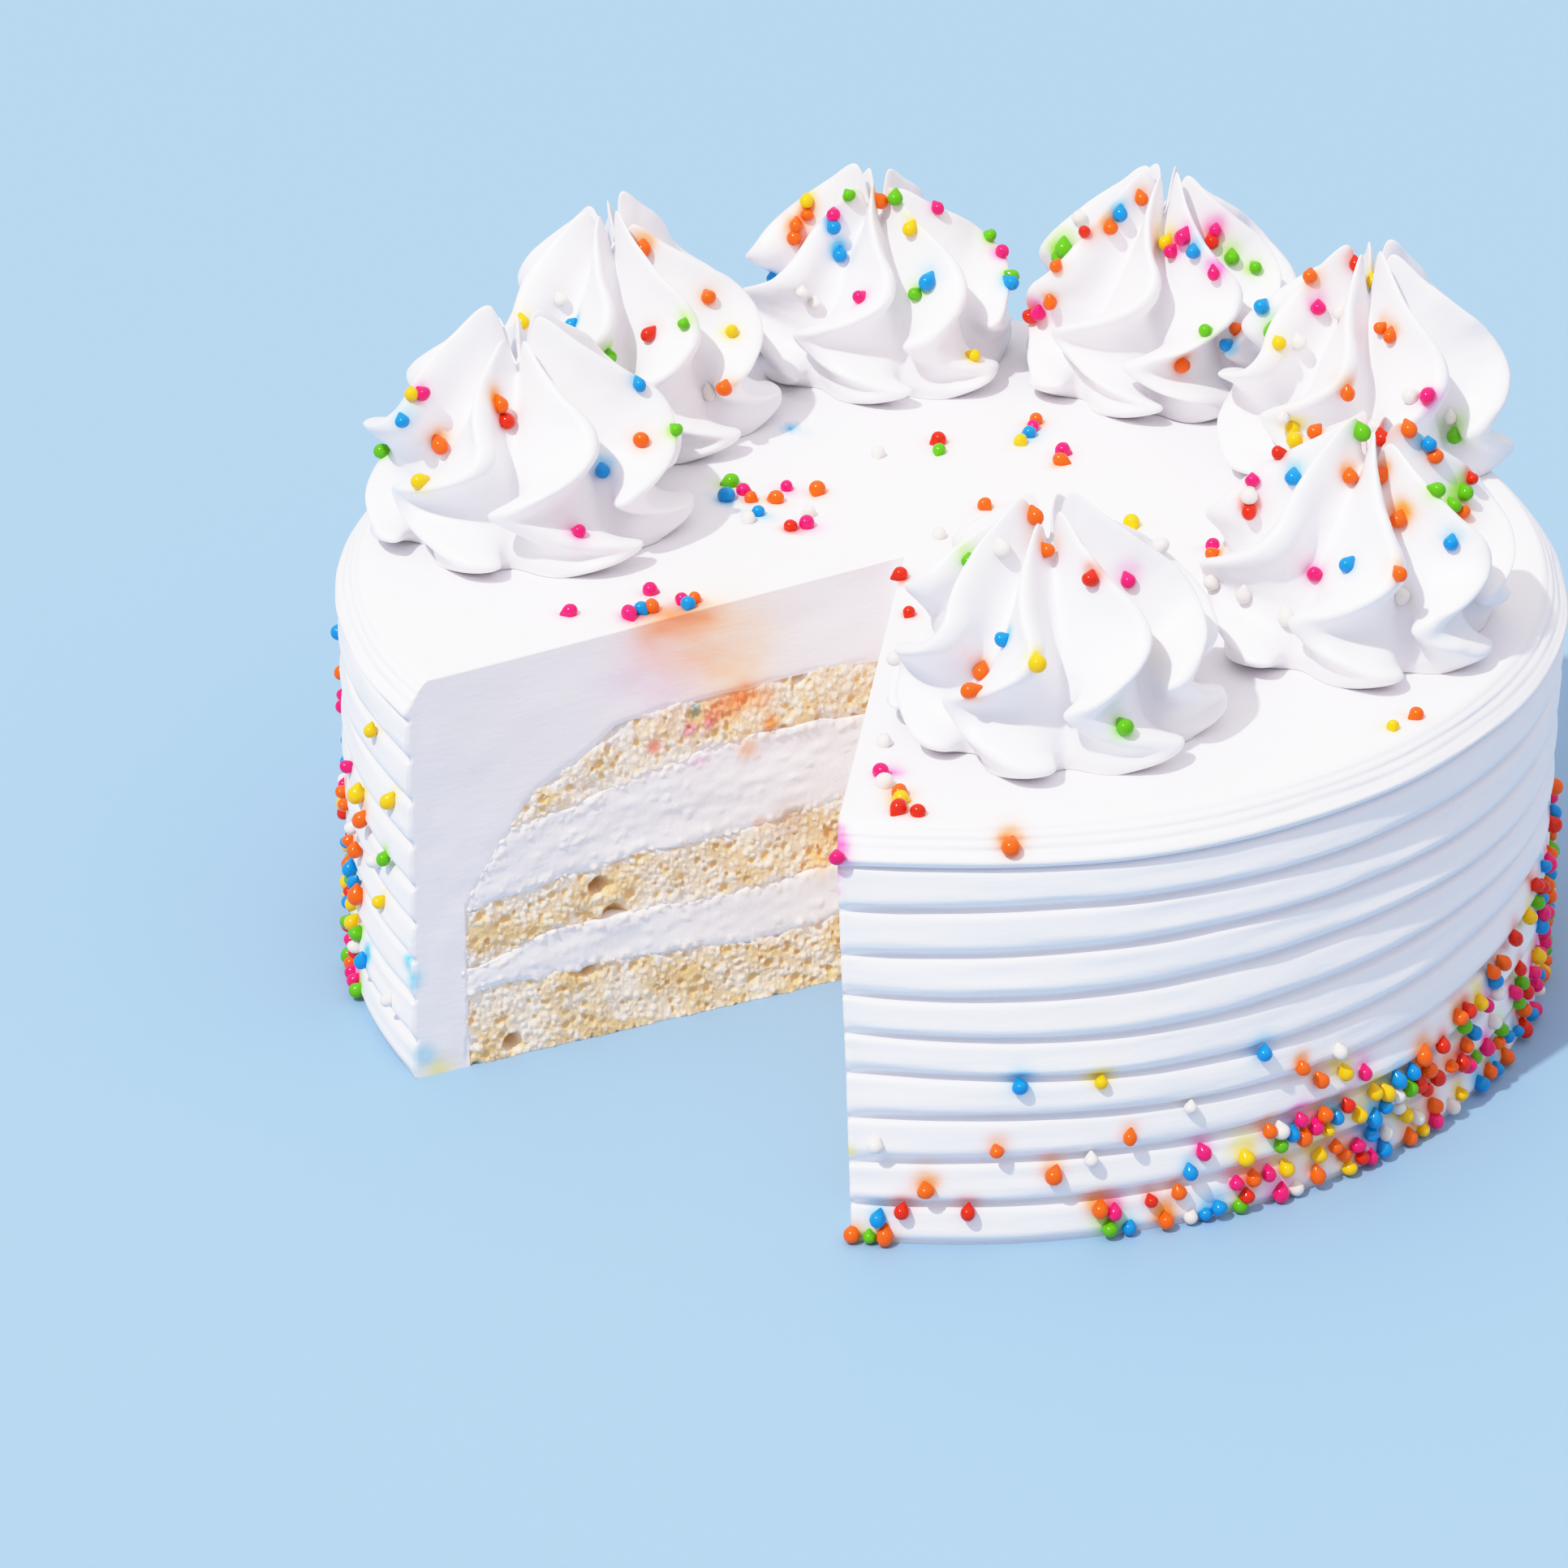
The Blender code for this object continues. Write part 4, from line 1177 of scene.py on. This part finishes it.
def hidden_rosette_spots(rosette, draw):
    """Places on the sides of a rosette that the photograph hides."""
    places = []
    while len(places) < HIDDEN_PER_ROSETTE:
        row, across = draw.uniform(*HIDDEN_ROWS), draw.choice(HIDDEN_FLANKS)
        fin = draw.randrange(rosette.fins)
        spot = rosette_points(rosette, np.array((row,)), np.array((fin,)), np.array((across,)))[0]
        if spot[1] > rosette.y + HIDDEN_BEHIND:
            places.append(Vector(spot))
    return places


def clear_groove(spot, normal):
    """Bring a place on the combed side out to where a sprinkle bridges the grooves."""
    radius = math.hypot(spot.x, spot.y)
    if spot.z > LIP_HEIGHT or radius < GROOVE_RADIUS - 2.0 * RIDGE_DEEPENING:
        return spot, normal
    out = Vector((spot.x / radius, spot.y / radius, 0.0))
    return spot + out * max(0.0, BRIDGE_RADIUS - radius), out


Bead = namedtuple("Bead", "spot normal colour radius")


def gather_beads(icing, rosettes):
    """Every sprinkle: those of the solids, those that the photograph shows and the rest."""
    draw = random.Random(BEAD_SEED)
    carriers = [icing, *rosettes]
    beads = []
    taken = []

    def keep(spot, normal, colour, spacing):
        spot, normal = clear_groove(spot, normal)
        if clear_of(spot, taken, spacing):
            taken.append(spot)
            beads.append(Bead(spot, normal, colour, draw.triangular(*BEAD_RADII)))

    for colour, pixels in SHOWN_SPRINKLES.items():
        for pixel in pixels:
            found = look_through(pixel, carriers)
            if found:
                keep(found[0], found[1], colour, SHOWN_SPACING)
    for spot in solid_icing_spots():
        keep(*seat([icing], spot), draw_colour(draw), SHOWN_SPACING)
    for rosette, piece in zip(ROSETTES, rosettes):
        for spot in solid_rosette_spots(rosette):
            keep(*seat([piece], spot), draw_colour(draw), SHOWN_SPACING)
        for spot in hidden_rosette_spots(rosette, draw):
            keep(*seat([piece], spot), draw_colour(draw), CROWD_SPACING)
    for spot in crowd_spots(draw):
        keep(*seat([icing], spot), draw_colour(draw), CROWD_SPACING * CROWD_CLOSENESS)
    return beads


def bead_tail(bead, draw):
    """The way a sprinkle's tail points: up the slope and into the icing."""
    normal = bead.normal
    slope = Vector((0.0, 0.0, 1.0)) - normal * normal.z
    if slope.length < LEAST_SLOPE:
        slope = Vector((draw.uniform(-1, 1), draw.uniform(-1, 1), 0.0))
    wander = [draw.uniform(-TAIL_WANDER, TAIL_WANDER) for _ in range(2)]
    slope = slope.normalized() + Vector((*wander, 0.0))
    return (slope.normalized() - normal * TAIL_SINK).normalized()


def add_node(tree, kind, links=None, **settings):
    """A node with its settings, its plain values and its links by socket name or number."""
    node = tree.nodes.new(kind)
    for key, value in settings.items():
        setattr(node, key, value)
    for key, value in (links or {}).items():
        if isinstance(value, bpy.types.NodeSocket):
            tree.links.new(value, node.inputs[key])
        else:
            node.inputs[key].default_value = value
    return node


def add_group(name, kind, inputs, outputs):
    """An empty node group with its sockets, given as names and types, and its input sockets."""
    tree = bpy.data.node_groups.new(name, kind)
    for way, sockets in (("INPUT", inputs), ("OUTPUT", outputs)):
        for title, socket in sockets.items():
            tree.interface.new_socket(title, in_out=way, socket_type=f"NodeSocket{socket}")
    return tree, tree.nodes.new("NodeGroupInput").outputs


def maths(tree, operation, *values):
    """The result of one step of arithmetic on sockets and plain numbers."""
    return add_node(tree, "ShaderNodeMath", dict(enumerate(values)), operation=operation).outputs[0]


def scatter_tree():
    """Geometry nodes that put a small drop, with its tail, on each point of a mesh."""
    tree, given = add_group(
        "scattered_drops", "GeometryNodeTree",
        {"Geometry": "Geometry", "Sides": "Int", "Rings": "Int", "Tail": "Float",
         "Material": "Material"},
        {"Geometry": "Geometry"})
    ball = add_node(tree, "GeometryNodeMeshUVSphere", {
        "Segments": given["Sides"], "Rings": given["Rings"], "Radius": 1.0})
    split = add_node(tree, "ShaderNodeSeparateXYZ", {
        0: add_node(tree, "GeometryNodeInputPosition").outputs[0]})
    above = maths(tree, "MAXIMUM", split.outputs["Z"], 0.0)
    thin = maths(tree, "MULTIPLY", maths(tree, "POWER", above, TAIL_POWER), given["Tail"])
    width = maths(tree, "MULTIPLY_ADD", thin, TAIL_THINNING, 1.0)
    peak = maths(tree, "POWER", above, PEAK_POWER)
    place = add_node(tree, "ShaderNodeCombineXYZ", {
        "X": maths(tree, "MULTIPLY", split.outputs["X"], width),
        "Y": maths(tree, "MULTIPLY", split.outputs["Y"], width),
        "Z": maths(tree, "MULTIPLY_ADD", peak, given["Tail"], split.outputs["Z"])})
    drop = add_node(tree, "GeometryNodeSetPosition", {
        "Geometry": ball.outputs["Mesh"], "Position": place.outputs[0]})
    turn, size = (add_node(tree, "GeometryNodeInputNamedAttribute", {"Name": name},
                           data_type="FLOAT_VECTOR").outputs["Attribute"]
                  for name in ("turn", "size"))
    angle = add_node(tree, "FunctionNodeEulerToRotation", {0: turn})
    spread = add_node(tree, "GeometryNodeInstanceOnPoints", {
        "Points": given["Geometry"], "Instance": drop.outputs["Geometry"],
        "Rotation": angle.outputs[0], "Scale": size})
    real = add_node(tree, "GeometryNodeRealizeInstances", {"Geometry": spread.outputs[0]})
    soft = add_node(tree, "GeometryNodeSetShadeSmooth", {0: real.outputs[0]})
    dressed = add_node(tree, "GeometryNodeSetMaterial", {
        "Geometry": soft.outputs[0], "Material": given["Material"]})
    tree.links.new(dressed.outputs[0], tree.nodes.new("NodeGroupOutput").inputs[0])
    return tree


def scatter(tree, name, spots, turns, sizes, drop):
    """One plain mesh of drops, one at each spot. The drop holds the tree's named inputs."""
    mesh = bpy.data.meshes.new(name)
    mesh.from_pydata([tuple(spot) for spot in spots], [], [])
    for key, values in (("turn", turns), ("size", sizes)):
        layer = mesh.attributes.new(key, "FLOAT_VECTOR", "POINT")
        layer.data.foreach_set("vector", np.array(values, dtype=np.float32).ravel())
    piece = make_piece(name, mesh)
    modifier = piece.modifiers.new("Scatter", "NODES")
    modifier.node_group = tree
    for item in tree.interface.items_tree:
        if item.in_out == "INPUT" and item.name in drop:
            modifier[item.identifier] = drop[item.name]
    bpy.context.view_layer.update()
    graph = bpy.context.evaluated_depsgraph_get()
    plain = bpy.data.meshes.new_from_object(piece.evaluated_get(graph))
    piece.modifiers.clear()
    piece.data = plain
    plain.name = name
    bpy.data.meshes.remove(mesh)
    return piece


def make_sprinkles(tree, beads, materials):
    """One piece of sprinkles for each colour."""
    pieces = []
    for colour in SPRINKLE_COLOURS:
        draw = random.Random(colour)
        spots, turns, sizes = [], [], []
        for bead in beads:
            if bead.colour != colour:
                continue
            tail = bead_tail(bead, draw)
            spot = bead.spot + bead.normal * bead.radius * BEAD_LIFT
            spot.z = max(spot.z, FLOOR_ROOM * bead.radius)
            spots.append(spot)
            turns.append(tuple(tail.to_track_quat("Z", "Y").to_euler()))
            wide = bead.radius * draw.uniform(*BEAD_WIDTHS)
            sizes.append((wide, bead.radius, bead.radius * draw.uniform(*BEAD_LENGTHS)))
        drop = {"Sides": DROP_SIDES, "Rings": DROP_RINGS, "Tail": DROP_TAIL,
                "Material": materials[colour]}
        pieces.append(scatter(tree, f"sprinkles_{colour}", spots, turns, sizes, drop))
    return pieces


def dye(mesh, marks):
    """Let dye run into a mesh's colours round each mark."""
    points = vertex_array(mesh)
    colours = read_colour(mesh)
    low, high = points.min(axis=0), points.max(axis=0)
    for spot, reach, name, strength in marks:
        spot = np.array(spot)
        bound = DYE_BOUND * reach
        if np.any(spot < low - bound) or np.any(spot > high + bound):
            continue
        near = np.flatnonzero(np.all(np.abs(points - spot) < DYE_END * reach, axis=1))
        apart = np.linalg.norm(points[near] - spot, axis=1) / reach
        amount = strength * np.minimum(1.0, DYE_CORE * np.exp(-apart ** 2))
        size, share, salt = DYE_MOTTLE
        amount *= 1.0 + share * soft_noise(points[near], size, salt)
        colours[near] *= mix(np.ones((len(near), 3)), np.array(DYE_COLOURS[name]), amount)
    store_colour(mesh, colours)


def bead_marks(beads):
    """The dye round each sprinkle, which runs from where its tail meets the icing."""
    draw = random.Random(DYE_SEED)
    marks = []
    for bead in beads:
        strength = draw.uniform(*DYE_STRENGTHS)
        if bead.colour == "pearl":
            strength = PEARL_DYE
        place = "side" if bead.normal.z < SIDE_LEVELNESS else "top"
        rise = bead.radius * DYE_RISES[place]
        reach = bead.radius * draw.uniform(*DYE_REACHES)
        marks.append((bead.spot + Vector((0.0, 0.0, rise)), reach, bead.colour, strength))
    return marks


def principled(name, colour, roughness):
    """A material with a Principled shader of one colour and roughness."""
    material = bpy.data.materials.new(name)
    material.use_nodes = True
    shader = material.node_tree.nodes["Principled BSDF"]
    shader.inputs["Base Color"].default_value = (*colour, 1.0)
    shader.inputs["Roughness"].default_value = roughness
    return material, shader


def surface_group(name):
    """A shader group: a colour with fine mottling, and the height of a fine grain."""
    tree, given = add_group(
        name, "ShaderNodeTree",
        {"Colour": "Color", "Grain Size": "Float", "Mottle": "Float", "Stretch": "Vector"},
        {"Colour": "Color", "Height": "Float"})
    where = add_node(tree, "ShaderNodeTexCoord").outputs["Object"]
    density = maths(tree, "DIVIDE", 1.0, given["Grain Size"])
    drawn = add_node(tree, "ShaderNodeVectorMath", {0: where, 1: given["Stretch"]},
                     operation="MULTIPLY").outputs[0]
    grain = add_node(tree, "ShaderNodeTexNoise", {
        "Vector": drawn, "Scale": density, "Detail": 3.0, "Roughness": 0.6})
    broad = add_node(tree, "ShaderNodeTexNoise", {
        "Vector": where, "Scale": BROAD_GRAIN_SCALE, "Detail": 2.0})
    both = maths(tree, "ADD", grain.outputs["Fac"], broad.outputs["Fac"])
    shade = maths(tree, "MULTIPLY_ADD", maths(tree, "ADD", both, -1.0), given["Mottle"], 1.0)
    tone = add_node(tree, "ShaderNodeVectorMath", {0: given["Colour"], "Scale": shade},
                    operation="SCALE")
    result = tree.nodes.new("NodeGroupOutput").inputs
    tree.links.new(tone.outputs[0], result["Colour"])
    tree.links.new(grain.outputs["Fac"], result["Height"])
    return tree


def dressed_material(name, finish, group):
    """A material whose colour is the mesh's tint, which holds painted light and shade, times a colour,
    with a fine grain.
    """
    material, shader = principled(name, finish.colour, finish.roughness)
    tree = material.node_tree
    tint = add_node(tree, "ShaderNodeVertexColor", layer_name="tint")
    base = add_node(tree, "ShaderNodeVectorMath", {0: tint.outputs["Color"], 1: finish.colour},
                    operation="MULTIPLY")
    skin = add_node(tree, "ShaderNodeGroup", node_tree=group)
    tree.links.new(base.outputs[0], skin.inputs["Colour"])
    skin.inputs["Grain Size"].default_value = finish.grain
    skin.inputs["Mottle"].default_value = finish.mottle
    skin.inputs["Stretch"].default_value = (1.0, 1.0, finish.stretch)
    relief = add_node(tree, "ShaderNodeBump", {
        "Height": skin.outputs["Height"], "Strength": 1.0, "Distance": finish.bump})
    tree.links.new(skin.outputs["Colour"], shader.inputs["Base Color"])
    tree.links.new(relief.outputs[0], shader.inputs["Normal"])
    return material


def sprinkle_material(name, colour):
    """Glossy coloured sugar."""
    material, shader = principled(name, colour, SUGAR_ROUGHNESS)
    shader.inputs["Specular IOR Level"].default_value = SUGAR_SPECULAR
    return material


def add_camera():
    """The camera, where the photograph was taken from."""
    place, across, up, ahead = camera_frame()
    lens = bpy.data.cameras.new("photo_camera")
    lens.lens = CAMERA_LENS
    lens.sensor_width = SENSOR_WIDTH
    lens.clip_start = 0.01
    camera = bpy.data.objects.new("photo_camera", lens)
    bpy.context.scene.collection.objects.link(camera)
    turn = Matrix((across, up, -ahead)).transposed().to_4x4()
    camera.matrix_world = Matrix.Translation(place) @ turn
    bpy.context.scene.camera = camera


def add_sun(name, strength, spread, colour, direction):
    """A far light that comes from the given direction."""
    light = bpy.data.lights.new(name, "SUN")
    light.energy = strength
    light.angle = spread
    light.color = colour
    sun = bpy.data.objects.new(name, light)
    bpy.context.scene.collection.objects.link(sun)
    sun.rotation_euler = Vector(direction).to_track_quat("Z", "Y").to_euler()


def add_light():
    """A clear key light from the left and above, in a soft pale room lit from overhead."""
    add_sun("key", KEY_STRENGTH, KEY_SPREAD, KEY_COLOUR, KEY_DIRECTION)
    add_sun("overhead", OVERHEAD_STRENGTH, OVERHEAD_SPREAD, (1.0, 1.0, 1.0), (0.0, 0.0, 1.0))
    world = bpy.data.worlds.new("room")
    world.use_nodes = True
    back = world.node_tree.nodes["Background"]
    back.inputs["Color"].default_value = ROOM_COLOUR
    back.inputs["Strength"].default_value = ROOM_STRENGTH
    bpy.context.scene.world = world


def set_tones():
    """Show white icing as a camera does, with the brightest tones eased off."""
    view = bpy.context.scene.view_settings
    view.view_transform = "Standard"
    view.use_curve_mapping = True
    view.curve_mapping.white_level = (TONE_TOP,) * 3
    curve = view.curve_mapping.curves[3]
    for scene_tone, shown_tone in TONE_POINTS:
        curve.points.new(scene_tone / TONE_TOP, shown_tone)
    view.curve_mapping.update()


def add_floor():
    """A plain pale floor."""
    bpy.ops.mesh.primitive_plane_add(size=FLOOR_SIZE, location=(0.0, 0.0, 0.0))
    floor = bpy.context.object
    floor.name = "floor"
    material, _ = principled("floor", FLOOR_COLOUR, FLOOR_ROUGHNESS)
    floor.data.materials.append(material)


def register(piece, material, slot, *nodes):
    if material:
        piece.data.materials.clear()
        piece.data.materials.append(material)
    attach(piece, "root")
    if nodes:
        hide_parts(*nodes)


def main():
    """Build every piece of the cake and its plain studio."""
    add_camera()
    add_light()
    set_tones()
    add_floor()
    flat_base = ((0.0, 0.0), (LAYER_RADIUS, 0.0))
    joins = (
        ("sponge_bottom", flat_base, BOTTOM_SPONGE_TOP),
        ("cream_lower", BOTTOM_SPONGE_TOP, LOWER_CREAM_TOP),
        ("sponge_middle", LOWER_CREAM_TOP, MIDDLE_SPONGE_TOP),
        ("cream_upper", MIDDLE_SPONGE_TOP, UPPER_CREAM_TOP),
        ("sponge_top", UPPER_CREAM_TOP, TOP_SPONGE_TOP),
    )
    icing = make_piece("icing_coat", make_icing_mesh())
    rosettes = []
    for number, rosette in enumerate(ROSETTES, start=1):
        name = f"piped_rosette_{number}"
        rosettes.append(make_piece(name, make_rosette_mesh(name, rosette)))
    layers = {}
    for node, lower, upper in joins:
        if node.startswith("sponge"):
            mesh = make_layer_mesh(f"{node}_crumb", lower, upper, SPONGE_SPACING,
                                   SPONGE_OVERLAP, crumb_surface)
        else:
            mesh = make_layer_mesh(f"{node}_fill", lower, upper, CREAM_SPACING,
                                   CREAM_OVERLAP, cream_surface)
        layers[node] = make_piece(mesh.name, mesh)
    bpy.context.view_layer.update()

    beads = gather_beads(icing, rosettes)
    dyed = [icing, *rosettes, *layers.values()]
    marks = bead_marks(beads)
    for name, stains in STAINS.items():
        for x, y, reach, strength in stains:
            found = look_through((x, y), dyed)
            if found:
                marks.append((found[0], reach, name, strength))
    for piece in dyed:
        dye(piece.data, marks)

    group = surface_group("fine_grain")
    skins = {slot: dressed_material(slot, finish, group) for slot, finish in FINISHES.items()}
    coats = {name: sprinkle_material(f"sprinkle_{name}", colour)
             for name, colour in SPRINKLE_COLOURS.items()}
    sprinkles = make_sprinkles(scatter_tree(), beads, coats)

    carriers = ["icing"] + [f"rosette_{number}" for number in range(1, len(ROSETTES) + 1)]
    register(icing, skins["icing"], "icing", "icing")
    for node, piece in zip(carriers[1:], rosettes):
        register(piece, skins["piped_icing"], "piped_icing", node)
    for node, piece in layers.items():
        slot = "sponge" if node.startswith("sponge") else "cream"
        register(piece, skins[slot], slot, node)
    for piece in sprinkles:
        register(piece, None, "sprinkles", *carriers)


main()
